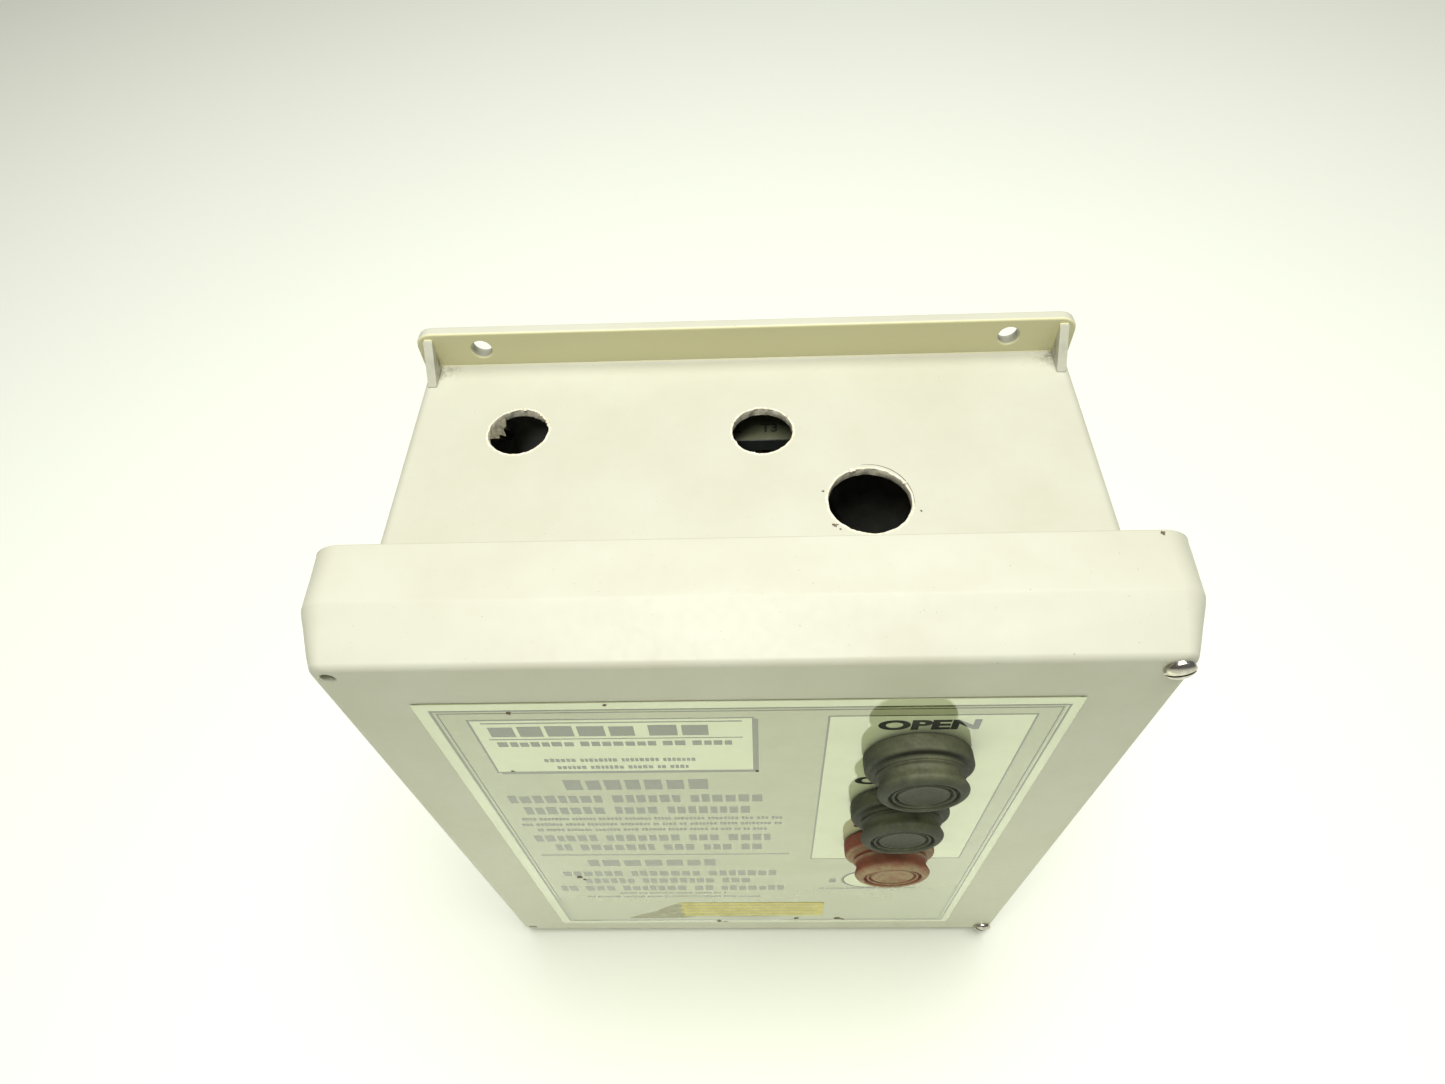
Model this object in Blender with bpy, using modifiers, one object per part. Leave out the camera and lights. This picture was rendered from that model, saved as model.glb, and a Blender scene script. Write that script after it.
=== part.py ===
"""Control box of a garage door opener: a moulded wall box, its lift-off cover with three booted
push buttons, and the switchgear that they work.

Metres, +Z up, front towards -Y. The origin is the middle of the base of the bounding box.
Depths are counted from the cover's front face towards the wall.
"""

import math

import bmesh
import bpy
from mathutils import Vector

# Cover: one moulded pan whose walls lean in towards the front face.
COVER_WIDTH = 0.2764
COVER_HEIGHT = 0.3227
COVER_WALL = 0.0028
FACE_INSET = 0.0071
BEND_DEPTH = 0.0195
RIM_DEPTH = 0.0409
RIM_FLARE = 0.00095
FACE_CORNER = 0.0045
BEND_CORNER = 0.0090
RIM_CORNER = 0.0105
FACE_ROUND = 0.0030

# Box: a tub on a back plate that stands past it at the top and bottom as mounting flanges.
TOTAL_DEPTH = 0.1440
BOX_WIDTH = 0.2500
BOX_HEIGHT = 0.2935
BOX_WALL = 0.0030
BOX_CORNER = 0.0040
BACK_THICKNESS = 0.0047
FLANGE_WIDTH = 0.2518
FLANGE_TOP = 0.32535
FLANGE_CORNER = 0.0060
GUSSET_LENGTH = 0.0115
GUSSET_X = 0.1207
LIP_FRONT = 0.0140
LIP_THICKNESS = 0.0030
LIP_GAP = 0.0010
BOSS_RADIUS = 0.0060
BOSS_END = 0.0300

# Holes.
SCREW_X = 0.1264
SCREW_RISE = 0.1489
SCREW_HOLE = 0.0023
MOUNT_HOLE = 0.0040
MOUNT_X = 0.1012
MOUNT_RISE = 0.0085
HALF_INCH_HOLE = 0.0111
THREE_QUARTER_HOLE = 0.01425
CONDUIT_HOLES = (
    (-0.0836, 0.1031, HALF_INCH_HOLE),
    (0.0067, 0.1009, HALF_INCH_HOLE),
    (0.0428, 0.0671, THREE_QUARTER_HOLE),
)

# Label: a printed sheet on the cover.
LABEL_LEFT = -0.1070
LABEL_RIGHT = 0.1048
LABEL_LOW = 0.02455
LABEL_HIGH = 0.29400
LABEL_LIFT = 0.0001
LABEL_THICKNESS = 0.0003

# Buttons: three on one vertical line.
BUTTON_X = 0.0575
BUTTON_TOP_Z = 0.25245
BUTTON_PITCH = 0.04575
BUTTON_PROUD = 0.0165
PANEL_HOLE = 0.0113
STEM_RADIUS = 0.0068

# Switchgear, on a steel plate held off the back wall.
PLATE_FRONT = 0.1310
PLATE_THICKNESS = 0.0020
PLATE_HALF_WIDTH = 0.1140
PLATE_HALF_HEIGHT = 0.1320
STANDOFF_X = 0.1000
STANDOFF_RISE = 0.1180
CONTACTOR_HALF_WIDTH = 0.0240
CONTACTOR_HALF_HEIGHT = 0.0380
CONTACTOR_FRONT = 0.0527
CONTACTOR_SPLIT = 0.0920
CONTACTOR_Z = 0.2160
CONTACTOR_X = {"close": -0.0460, "open": 0.0080}
TERMINAL_SPACING = 0.0150
RELAY_Z = 0.1500
TRANSFORMER_X = 0.0660
TRANSFORMER_Z = 0.0800
TRANSFORMER_DEPTH = 0.1080
FUSE_Z = 0.1320
FUSE_DEPTH = 0.1160
STRIP_X = -0.0580
STRIP_Z = 0.0620
MOTOR_STRIP_X = -0.0053
MOTOR_STRIP_LOW = 0.2690
MOTOR_STRIP_HIGH = 0.2910
MOTOR_STRIP_FRONT = 0.1130
LUG_X = -0.1000
LUG_Z = 0.1000
PLUG_X = 0.0980
PLUG_Z = 0.20670

GAP = 0.0003
COIL_STEPS = 9
OVERLAP = 0.0010
FRONT_Y = -(TOTAL_DEPTH - BUTTON_PROUD) / 2
CENTER_Z = COVER_HEIGHT / 2 + RIM_FLARE
BOX_LOW = CENTER_Z - BOX_HEIGHT / 2
BOX_HIGH = CENTER_Z + BOX_HEIGHT / 2
ON_PLATE = PLATE_FRONT - GAP
BUTTONS = ("open", "close", "stop")

FACING_FRONT = (math.pi / 2, 0, 0)
FACING_RIGHT = (math.pi / 2, 0, math.pi / 2)


def depth(distance):
    """World Y of a plane this far behind the cover's front face."""
    return FRONT_Y + distance


def button_z(index):
    return BUTTON_TOP_Z - index * BUTTON_PITCH


# ---------------------------------------------------------------- scene and finishes


def clear_scene():
    for thing in list(bpy.data.objects):
        bpy.data.objects.remove(thing, do_unlink=True)


def new_collection(name, hidden):
    group = bpy.data.collections.new(name)
    group.hide_render = hidden
    bpy.context.scene.collection.children.link(group)
    return group


def finish(name, colour, roughness, metallic=0.0):
    made = bpy.data.materials.new(name)
    made.use_nodes = True
    shader = made.node_tree.nodes["Principled BSDF"]
    shader.inputs["Base Color"].default_value = (*colour, 1.0)
    shader.inputs["Roughness"].default_value = roughness
    shader.inputs["Metallic"].default_value = metallic
    return made


clear_scene()
PARTS = new_collection("garage_door_opener", False)
CUTTERS = new_collection("cutters", True)

ALMOND = finish("almond_polyester", (0.78, 0.76, 0.60), 0.42)
LABEL = finish("printed_label", (0.52, 0.55, 0.42), 0.25)
BLACK_RUBBER = finish("black_rubber", (0.045, 0.050, 0.042), 0.60)
RED_RUBBER = finish("red_rubber", (0.22, 0.035, 0.025), 0.55)
ZINC = finish("zinc_plated_steel", (0.62, 0.62, 0.60), 0.35, 1.0)
SPRING_STEEL = finish("spring_steel", (0.48, 0.48, 0.47), 0.30, 1.0)
PLATED_BRASS = finish("plated_brass", (0.70, 0.58, 0.34), 0.30, 1.0)
DARK_BAKELITE = finish("dark_bakelite", (0.035, 0.042, 0.036), 0.50)
GREY_NYLON = finish("grey_nylon", (0.30, 0.31, 0.30), 0.50)
WHITE_NYLON = finish("white_nylon", (0.80, 0.79, 0.74), 0.50)
RED_NYLON = finish("red_nylon", (0.55, 0.04, 0.03), 0.45)
COIL_TAPE = finish("coil_tape", (0.55, 0.40, 0.10), 0.50)
CORE_STEEL = finish("core_steel", (0.14, 0.15, 0.17), 0.55, 0.8)
FUSE_GLASS = finish("fuse_glass", (0.80, 0.85, 0.82), 0.10)
BLACK_WIRE = finish("black_wire", (0.03, 0.03, 0.03), 0.45)
RED_WIRE = finish("red_wire", (0.45, 0.03, 0.03), 0.45)


# ---------------------------------------------------------------- modelling tools


def place_object(name, data, look, location=(0, 0, 0), rotation=(0, 0, 0)):
    """Links a piece, or a cutter when it has no finish."""
    made = bpy.data.objects.new(name, data)
    made.location = location
    made.rotation_euler = rotation
    if look is None:
        CUTTERS.objects.link(made)
        made.hide_render = True
        made.display_type = "WIRE"
    else:
        PARTS.objects.link(made)
        data.materials.append(look)
    return made


def shade_round(mesh):
    mesh.shade_smooth()
    mesh.set_sharp_from_angle(angle=math.radians(35))


def block(name, low, high, look=None, rounded=None):
    """A box between two corners. rounded is (axis, radius): the edges along that axis are rounded."""
    low, high = Vector(low), Vector(high)
    bm = bmesh.new()
    bmesh.ops.create_cube(bm, size=1.0)
    bmesh.ops.scale(bm, vec=high - low, verts=bm.verts)
    if rounded:
        axis, radius = rounded
        along = [e for e in bm.edges if abs((e.verts[1].co - e.verts[0].co).normalized()[axis]) > 0.9]
        bmesh.ops.bevel(bm, geom=along, offset=radius, segments=3, profile=0.5, affect="EDGES")
    mesh = bpy.data.meshes.new(name)
    bm.to_mesh(mesh)
    bm.free()
    return place_object(name, mesh, look, (low + high) / 2)


def rod(name, start, end, radius, look=None, sides=32):
    """A cylinder from start to end."""
    start, end = Vector(start), Vector(end)
    bm = bmesh.new()
    bmesh.ops.create_cone(
        bm, cap_ends=True, segments=sides, radius1=radius, radius2=radius, depth=(end - start).length
    )
    mesh = bpy.data.meshes.new(name)
    bm.to_mesh(mesh)
    bm.free()
    shade_round(mesh)
    turn = (end - start).to_track_quat("Z", "Y").to_euler()
    return place_object(name, mesh, look, (start + end) / 2, turn)


def turned(name, profile, location, look, closed=False, steps=24):
    """A turned piece facing -Y. profile holds (radius, height) down the outer side, from the front."""
    edges = [(i, i + 1) for i in range(len(profile) - 1)]
    if closed:
        edges.append((len(profile) - 1, 0))
    mesh = bpy.data.meshes.new(name)
    mesh.from_pydata([(radius, 0, height) for radius, height in profile], edges, [])
    made = place_object(name, mesh, look, location, FACING_FRONT)
    screw = made.modifiers.new("turn", "SCREW")
    screw.steps = steps
    screw.render_steps = steps
    screw.use_merge_vertices = True
    screw.merge_threshold = 0.00001
    screw.use_smooth_shade = True
    return made


def solid_of_curve(name, curve, look, location, rotation):
    """Turns a curve with loose caps into a closed mesh object and removes the curve."""
    drawn = bpy.data.objects.new(name + "_curve", curve)
    CUTTERS.objects.link(drawn)
    drawn.location = location
    drawn.rotation_euler = rotation
    bpy.context.view_layer.update()
    mesh = bpy.data.meshes.new_from_object(drawn.evaluated_get(bpy.context.evaluated_depsgraph_get()))
    bm = bmesh.new()
    bm.from_mesh(mesh)
    bmesh.ops.remove_doubles(bm, verts=bm.verts, dist=0.000001)
    bm.to_mesh(mesh)
    bm.free()
    mesh.materials.clear()
    made = place_object(name, mesh, look)
    made.matrix_world = drawn.matrix_world
    bpy.data.objects.remove(drawn, do_unlink=True)
    return made


def plate_of_outline(name, outline, thickness, location, rotation, look=None):
    """A flat piece: a closed outline, thickened both ways from its own plane."""
    curve = bpy.data.curves.new(name, "CURVE")
    curve.dimensions = "2D"
    curve.fill_mode = "BOTH"
    curve.extrude = thickness / 2
    spline = curve.splines.new("POLY")
    spline.points.add(len(outline) - 1)
    for point, (across, up) in zip(spline.points, outline):
        point.co = (across, up, 0, 1)
    spline.use_cyclic_u = True
    return solid_of_curve(name, curve, look, location, rotation)


def tube_along(name, points, radius, look):
    """A round wire with closed ends along a list of points."""
    curve = bpy.data.curves.new(name, "CURVE")
    curve.dimensions = "3D"
    curve.bevel_depth = radius
    curve.bevel_resolution = 2
    curve.use_fill_caps = True
    spline = curve.splines.new("POLY")
    spline.points.add(len(points) - 1)
    for point, place in zip(spline.points, points):
        point.co = (*place, 1)
    made = solid_of_curve(name, curve, look, (0, 0, 0), (0, 0, 0))
    shade_round(made.data)
    return made


def smooth_route(knots, steps=6):
    """Points on the Catmull-Rom curve through the knots."""
    knots = [Vector(knot) for knot in knots]
    padded = [2 * knots[0] - knots[1], *knots, 2 * knots[-1] - knots[-2]]
    route = []
    for a, b, c, d in zip(padded, padded[1:], padded[2:], padded[3:]):
        for step in range(steps):
            t = step / steps
            bent = (2 * a - 5 * b + 4 * c - d) * t**2 + (3 * b - a - 3 * c + d) * t**3
            route.append(0.5 * (2 * b + (c - a) * t + bent))
    route.append(knots[-1])
    return route


def coil_spring(name, center_x, center_z, front, back, radius, wire, turns, look):
    """A helical compression spring about an axis along Y, between two depths that its ends touch."""
    count = round(turns * COIL_STEPS)
    first, last = front + wire, back - wire
    points = []
    for i in range(count + 1):
        angle = 2 * math.pi * turns * i / count
        along = first + (last - first) * i / count
        across, up = radius * math.cos(angle), radius * math.sin(angle)
        points.append((center_x + across, depth(along), center_z + up))
    return tube_along(name, points, wire, look)


def boolean(piece, operation, tools):
    for tool in tools:
        modifier = piece.modifiers.new(operation.lower(), "BOOLEAN")
        modifier.operation = operation
        modifier.solver = "EXACT"
        modifier.object = tool
    return piece


def cut(piece, *tools):
    return boolean(piece, "DIFFERENCE", tools)


def join(piece, *tools):
    return boolean(piece, "UNION", tools)


def mirrored_pairs(across, rise):
    return [(x, CENTER_Z + z) for x in (-across, across) for z in (-rise, rise)]


# ---------------------------------------------------------------- cover


def rounded_rectangle(half_width, half_height, radius, steps=5):
    """Corner arcs of a rectangle, anticlockwise seen from the front."""
    points = []
    for quarter, (side, end) in enumerate(((1, -1), (1, 1), (-1, 1), (-1, -1))):
        center_x = side * (half_width - radius)
        center_z = end * (half_height - radius)
        for step in range(steps + 1):
            angle = math.pi / 2 * (quarter - 1 + step / steps)
            points.append((center_x + radius * math.cos(angle), center_z + radius * math.sin(angle)))
    return points


def cover_sections():
    """(depth, inset from the bend's outline, corner radius) from the front face to the rim."""
    lean = math.atan2(FACE_INSET, BEND_DEPTH)
    turn = math.pi / 2 - lean
    center_inset = FACE_INSET + FACE_ROUND * (1 - math.sin(lean)) / math.cos(lean)
    sections = []
    for step in range(4):
        angle = turn * step / 3
        sections.append(
            (FACE_ROUND * (1 - math.cos(angle)), center_inset - FACE_ROUND * math.sin(angle), FACE_CORNER)
        )
    sections.append((BEND_DEPTH, 0.0, BEND_CORNER))
    sections.append((RIM_DEPTH, -RIM_FLARE, RIM_CORNER))
    return sections


def make_cover():
    bm = bmesh.new()
    rings = []
    for section_depth, inset, corner in cover_sections():
        outline = rounded_rectangle(COVER_WIDTH / 2 - inset, COVER_HEIGHT / 2 - inset, corner)
        rings.append([bm.verts.new((x, depth(section_depth), z)) for x, z in outline])
    bm.faces.new(rings[0])
    for front, back in zip(rings, rings[1:]):
        for i in range(len(front)):
            j = (i + 1) % len(front)
            bm.faces.new((front[i], back[i], back[j], front[j]))
    mesh = bpy.data.meshes.new("cover_shell")
    bm.to_mesh(mesh)
    bm.free()
    cover = place_object("cover_shell", mesh, ALMOND, (0, 0, CENTER_Z))
    wall = cover.modifiers.new("wall", "SOLIDIFY")
    wall.thickness = COVER_WALL
    wall.offset = -1
    wall.use_even_offset = True
    corners = mirrored_pairs(SCREW_X, SCREW_RISE)
    post_ends = depth(COVER_WALL - OVERLAP), depth(LIP_FRONT - GAP)
    for x, z in corners:
        join(cover, rod("post", (x, post_ends[0], z), (x, post_ends[1], z), 0.0045, sides=16))
    cut(cover, *[front_hole(x, z, SCREW_HOLE, -OVERLAP, LIP_FRONT, 16) for x, z in corners])
    cut(cover, *[front_hole(BUTTON_X, button_z(i), PANEL_HOLE, -OVERLAP, 0.005) for i in range(3)])


def front_hole(x, z, radius, start, end, sides=32):
    """A cutter for a hole along Y between two depths."""
    return rod("hole", (x, depth(start), z), (x, depth(end), z), radius, sides=sides)


def make_label():
    front = -LABEL_LIFT - LABEL_THICKNESS
    low = (LABEL_LEFT, depth(front), LABEL_LOW)
    label = block("cover_label", low, (LABEL_RIGHT, depth(-LABEL_LIFT), LABEL_HIGH), LABEL)
    cut(label, *[front_hole(BUTTON_X, button_z(i), 0.0125, front - OVERLAP, OVERLAP) for i in range(3)])


def slotted_screw(name, x, z, seat, head_radius, head_height, shank_radius, shank_end, look):
    """A pan-head screw whose head sits on the plane at depth seat, with a straight driver slot."""
    length = shank_end - seat
    profile = [
        (0, head_height),
        (0.55 * head_radius, 0.93 * head_height),
        (0.85 * head_radius, 0.70 * head_height),
        (head_radius, 0.30 * head_height),
        (head_radius, 0),
        (shank_radius, 0),
        (shank_radius, -length),
        (0, -length),
    ]
    screw = turned(name, profile, (x, depth(seat), z), look, steps=16)
    slot_low = (x - 1.1 * head_radius, depth(seat - 1.2 * head_height), z - 0.0006)
    slot_high = (x + 1.1 * head_radius, depth(seat - 0.5 * head_height), z + 0.0006)
    return cut(screw, block("slot", slot_low, slot_high))


def make_cover_screws():
    for name, side in (("cover_screw_upper", 1), ("cover_screw_lower", -1)):
        height = CENTER_Z + side * SCREW_RISE
        slotted_screw(name, SCREW_X, height, -0.0001, 0.0046, 0.0027, 0.0020, 0.0255, ZINC)


# ---------------------------------------------------------------- box


def corner_gusset(side, end):
    """A triangular rib in the corner between a flange and the wall beside it."""
    wall_z = BOX_HIGH if end > 0 else BOX_LOW
    edge_z = FLANGE_TOP - 0.002 if end > 0 else 0.002
    back = depth(TOTAL_DEPTH - BACK_THICKNESS)
    outline = [
        (back + OVERLAP, wall_z - end * OVERLAP),
        (back - GUSSET_LENGTH, wall_z - end * OVERLAP),
        (back - GUSSET_LENGTH, wall_z + end * 0.0005),
        (back - OVERLAP, edge_z),
        (back + OVERLAP, edge_z),
    ]
    center_x = side * GUSSET_X
    return plate_of_outline("gusset", outline, BOX_WALL, (center_x, 0, 0), FACING_RIGHT)


def make_box():
    half = BOX_WIDTH / 2
    back = depth(TOTAL_DEPTH)
    inside_back = depth(TOTAL_DEPTH - BACK_THICKNESS)
    low = (-FLANGE_WIDTH / 2, inside_back, 0)
    box = block("box_shell", low, (FLANGE_WIDTH / 2, back, FLANGE_TOP), ALMOND, (1, FLANGE_CORNER))
    walls_low = (-half, depth(LIP_FRONT + OVERLAP), BOX_LOW)
    join(box, block("walls", walls_low, (half, back - OVERLAP, BOX_HIGH), rounded=(1, BOX_CORNER)))
    lip_half = COVER_WIDTH / 2 - FACE_INSET * (1 - LIP_FRONT / BEND_DEPTH) - COVER_WALL - LIP_GAP
    lip_rise = COVER_HEIGHT / 2 - COVER_WIDTH / 2 + lip_half
    lip_low = (-lip_half, depth(LIP_FRONT), CENTER_Z - lip_rise)
    lip_high = (lip_half, depth(LIP_FRONT + LIP_THICKNESS), CENTER_Z + lip_rise)
    join(box, block("lip", lip_low, lip_high, rounded=(1, 0.006)))
    corners = mirrored_pairs(SCREW_X, SCREW_RISE)
    boss_ends = depth(LIP_FRONT + OVERLAP), depth(BOSS_END)
    for x, z in corners:
        join(box, rod("boss", (x, boss_ends[0], z), (x, boss_ends[1], z), BOSS_RADIUS, sides=20))
    join(box, *[corner_gusset(side, end) for side in (-1, 1) for end in (-1, 1)])
    cavity_low = (-half + BOX_WALL, depth(0), BOX_LOW + BOX_WALL)
    cavity_high = (half - BOX_WALL, inside_back, BOX_HIGH - BOX_WALL)
    cut(box, block("cavity", cavity_low, cavity_high, rounded=(1, 0.002)))
    feet = mirrored_pairs(STANDOFF_X, STANDOFF_RISE)
    foot_front = depth(PLATE_FRONT + PLATE_THICKNESS + GAP)
    for x, z in feet:
        join(box, rod("foot", (x, foot_front, z), (x, inside_back + OVERLAP, z), 0.006, sides=16))
    cut(box, *[front_hole(x, z, SCREW_HOLE, 0.010, BOSS_END - 0.002, 16) for x, z in corners])
    cut(box, *[front_hole(x, z, 0.0023, PLATE_FRONT, TOTAL_DEPTH - 0.002, 12) for x, z in feet])
    for z in (BOX_HIGH + MOUNT_RISE, BOX_LOW - MOUNT_RISE):
        cut(box, *[front_hole(x, z, MOUNT_HOLE, 0.13, 0.15, 20) for x in (-MOUNT_X, MOUNT_X)])
    for x, hole_depth, radius in CONDUIT_HOLES:
        y = depth(hole_depth)
        cut(box, rod("conduit_hole", (x, y, BOX_HIGH - 0.006), (x, y, BOX_HIGH + 0.006), radius, sides=32))


def make_plate():
    low = (-PLATE_HALF_WIDTH, depth(PLATE_FRONT), CENTER_Z - PLATE_HALF_HEIGHT)
    high = (PLATE_HALF_WIDTH, depth(PLATE_FRONT + PLATE_THICKNESS), CENTER_Z + PLATE_HALF_HEIGHT)
    plate = block("mounting_plate", low, high, ZINC, (1, 0.004))
    feet = mirrored_pairs(STANDOFF_X, STANDOFF_RISE)
    cut(plate, *[front_hole(x, z, 0.0026, 0.12, 0.135, 12) for x, z in feet])
    names = ("lower_left", "upper_left", "lower_right", "upper_right")
    for name, (x, z) in zip(names, feet):
        slotted_screw("plate_screw_" + name, x, z, ON_PLATE, 0.0045, 0.0024, 0.0020, 0.1400, ZINC)


# ---------------------------------------------------------------- push buttons


def make_button(index, name, rubber):
    """One booted push button: bushing, nut, boot, plunger, return spring, contact block and bridge."""
    z = button_z(index)
    face = (BUTTON_X, FRONT_Y, z)
    collar = ((0.0072, 0.0024), (0.0150, 0.0024), (0.0150, 0.0007), (0.0110, 0.0007), (0.0110, -0.0140))
    turned(name + "_bushing", [*collar, (0.0072, -0.0140)], face, GREY_NYLON, closed=True)
    hexagon = [(0.0160 * math.cos(math.pi / 3 * k), 0.0160 * math.sin(math.pi / 3 * k)) for k in range(6)]
    nut_place = (BUTTON_X, depth(COVER_WALL + GAP + 0.00175), z)
    nut = plate_of_outline(name + "_nut", hexagon, 0.0035, nut_place, FACING_FRONT, ZINC)
    cut(nut, front_hole(BUTTON_X, z, PANEL_HOLE, 0.0, 0.010))
    boot_profile = [
        (0, 0.0150), (0.0050, 0.0153), (0.0100, 0.0162), (0.0112, 0.0158), (0.0120, BUTTON_PROUD),
        (0.0144, 0.0162), (0.0155, 0.0152), (0.0148, 0.0128), (0.0154, 0.0090), (0.0176, 0.0084),
        (0.0188, 0.0070), (0.0188, 0.0020), (0.0178, 0.0007), (0.0162, 0.0007), (0.0162, 0.0062),
        (0.0135, 0.0078), (0.0131, 0.0133), (0, 0.0133),
    ]
    turned(name + "_boot", boot_profile, face, rubber)
    plunger = [(0, 0.0130), (0.0122, 0.0130), (0.0122, 0.0100), (STEM_RADIUS, 0.0100)]
    turned(name + "_plunger", [*plunger, (STEM_RADIUS, -0.0170), (0, -0.0170)], face, GREY_NYLON)
    coil_spring(name + "_spring", BUTTON_X, z, -0.0097, -0.0027, 0.0092, 0.00045, 3.25, SPRING_STEEL)
    make_contact_block(name, z)


def make_contact_block(name, z):
    low = (BUTTON_X - 0.0140, depth(0.0145), z - 0.0170)
    case = block(name + "_contact_block", low, (BUTTON_X + 0.0140, depth(0.0420), z + 0.0170), DARK_BAKELITE)
    pocket_low = (BUTTON_X - 0.0092, depth(0.0130), z - 0.0120)
    cut(case, block("pocket", pocket_low, (BUTTON_X + 0.0092, depth(0.0380), z + 0.0120)))
    for side in (-1, 1):
        center_x = BUTTON_X + side * 0.0130
        notch_low = (center_x - 0.0020, depth(0.0250), z - 0.0130)
        cut(case, block("notch", notch_low, (center_x + 0.0020, depth(0.0340), z - 0.0050)))
    bar = (BUTTON_X - 0.0086, depth(0.0240), z - 0.0026), (BUTTON_X + 0.0086, depth(0.0252), z + 0.0026)
    bridge = block(name + "_contact_bridge", *bar, PLATED_BRASS)
    join(bridge, rod("hub", (BUTTON_X, depth(0.0173), z), (BUTTON_X, depth(0.0270), z), 0.0040, sides=16))
    for side in (-1, 1):
        tip_x = BUTTON_X + side * 0.0066
        join(bridge, rod("tip", (tip_x, depth(0.0245), z), (tip_x, depth(0.0264), z), 0.0016, sides=12))


# ---------------------------------------------------------------- switchgear


def make_contactor(name, x):
    """A contactor: base with its coil, head with its terminals, sliding carrier and return spring."""
    half, rise, z = CONTACTOR_HALF_WIDTH, CONTACTOR_HALF_HEIGHT, CONTACTOR_Z
    base_low = (x - half, depth(CONTACTOR_SPLIT + 0.0002), z - rise)
    base = block(name + "_contactor_base", base_low, (x + half, depth(ON_PLATE), z + rise), DARK_BAKELITE)
    cut(base, block("pocket", (x - 0.017, depth(0.090), z - 0.022), (x + 0.017, depth(0.127), z + 0.022)))
    head_low = (x - half, depth(CONTACTOR_FRONT), z - rise)
    head_high = (x + half, depth(CONTACTOR_SPLIT - 0.0001), z + rise)
    head = block(name + "_contactor_head", head_low, head_high, DARK_BAKELITE)
    cut(head, block("channel", (x - 0.0084, depth(0.05), z - 0.0144), (x + 0.0084, depth(0.1), z + 0.0144)))
    for end in (-1, 1):
        step_z = sorted((z + end * 0.0260, z + end * 0.0400))
        cut(head, block("step", (x - 0.03, depth(0.050), step_z[0]), (x + 0.03, depth(0.059), step_z[1])))
        for k in (-1, 0, 1):
            slot_x = x + k * TERMINAL_SPACING
            slot_low = (slot_x - 0.0055, depth(0.0570), step_z[0] + 0.0005)
            cut(head, block("terminal", slot_low, (slot_x + 0.0055, depth(0.0720), step_z[1] + 0.0005)))
    winding = (x - 0.0138, depth(0.1020), z - 0.0188), (x + 0.0138, depth(0.1255), z + 0.0188)
    coil = block(name + "_contactor_coil", *winding, COIL_TAPE)
    for front, back in ((0.1010, 0.1030), (0.1247, 0.1267)):
        flange = (x - 0.0155, depth(front), z - 0.0205), (x + 0.0155, depth(back), z + 0.0205)
        join(coil, block("flange", *flange))
    bore = (x - 0.0064, depth(0.0990), z - 0.0084), (x + 0.0064, depth(0.1160), z + 0.0084)
    cut(coil, block("bore", *bore))
    carrier_low = (x - 0.0079, depth(CONTACTOR_FRONT - 0.0040), z - 0.0139)
    carrier_high = (x + 0.0079, depth(0.0930), z + 0.0139)
    carrier = block(name + "_contactor_carrier", carrier_low, carrier_high, WHITE_NYLON)
    armature = (x - 0.015, depth(0.0925), z - 0.02), (x + 0.015, depth(0.0960), z + 0.02)
    join(carrier, block("armature", *armature))
    coil_spring(name + "_contactor_spring", x, z, 0.0963, 0.1157, 0.0046, 0.0004, 5, SPRING_STEEL)


def make_overload_relay():
    x, z = CONTACTOR_X["open"], RELAY_Z
    low = (x - CONTACTOR_HALF_WIDTH, depth(0.0660), z - 0.0220)
    high = (x + CONTACTOR_HALF_WIDTH, depth(ON_PLATE), z + 0.0220)
    relay = block("overload_relay", low, high, DARK_BAKELITE)
    reset_x, dial_x, dial_z = x - 0.0110, x + 0.0090, z + 0.0060
    well = (reset_x - 0.0035, depth(0.06), z + 0.0035), (reset_x + 0.0035, depth(0.082), z + 0.0105)
    cut(relay, block("well", *well))
    cut(relay, front_hole(dial_x, dial_z, 0.0053, 0.0600, 0.0695, 24))
    for k in (-1, 0, 1):
        slot_x = x + k * TERMINAL_SPACING
        slot = (slot_x - 0.0055, depth(0.06), z - 0.023), (slot_x + 0.0055, depth(0.08), z - 0.011)
        cut(relay, block("terminal", *slot))
    reset_low = (reset_x - 0.0031, depth(0.0630), z + 0.0039)
    block("overload_reset_button", reset_low, (reset_x + 0.0031, depth(0.0780), z + 0.0101), RED_NYLON)
    dial_ends = (dial_x, depth(0.0650), dial_z), (dial_x, depth(0.0692), dial_z)
    dial = rod("overload_dial", *dial_ends, 0.0050, WHITE_NYLON, 24)
    slot_low = (dial_x - 0.0038, depth(0.064), dial_z - 0.0006)
    slot = slot_low, (dial_x + 0.0038, depth(0.0662), dial_z + 0.0006)
    cut(dial, block("slot", *slot))


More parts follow.
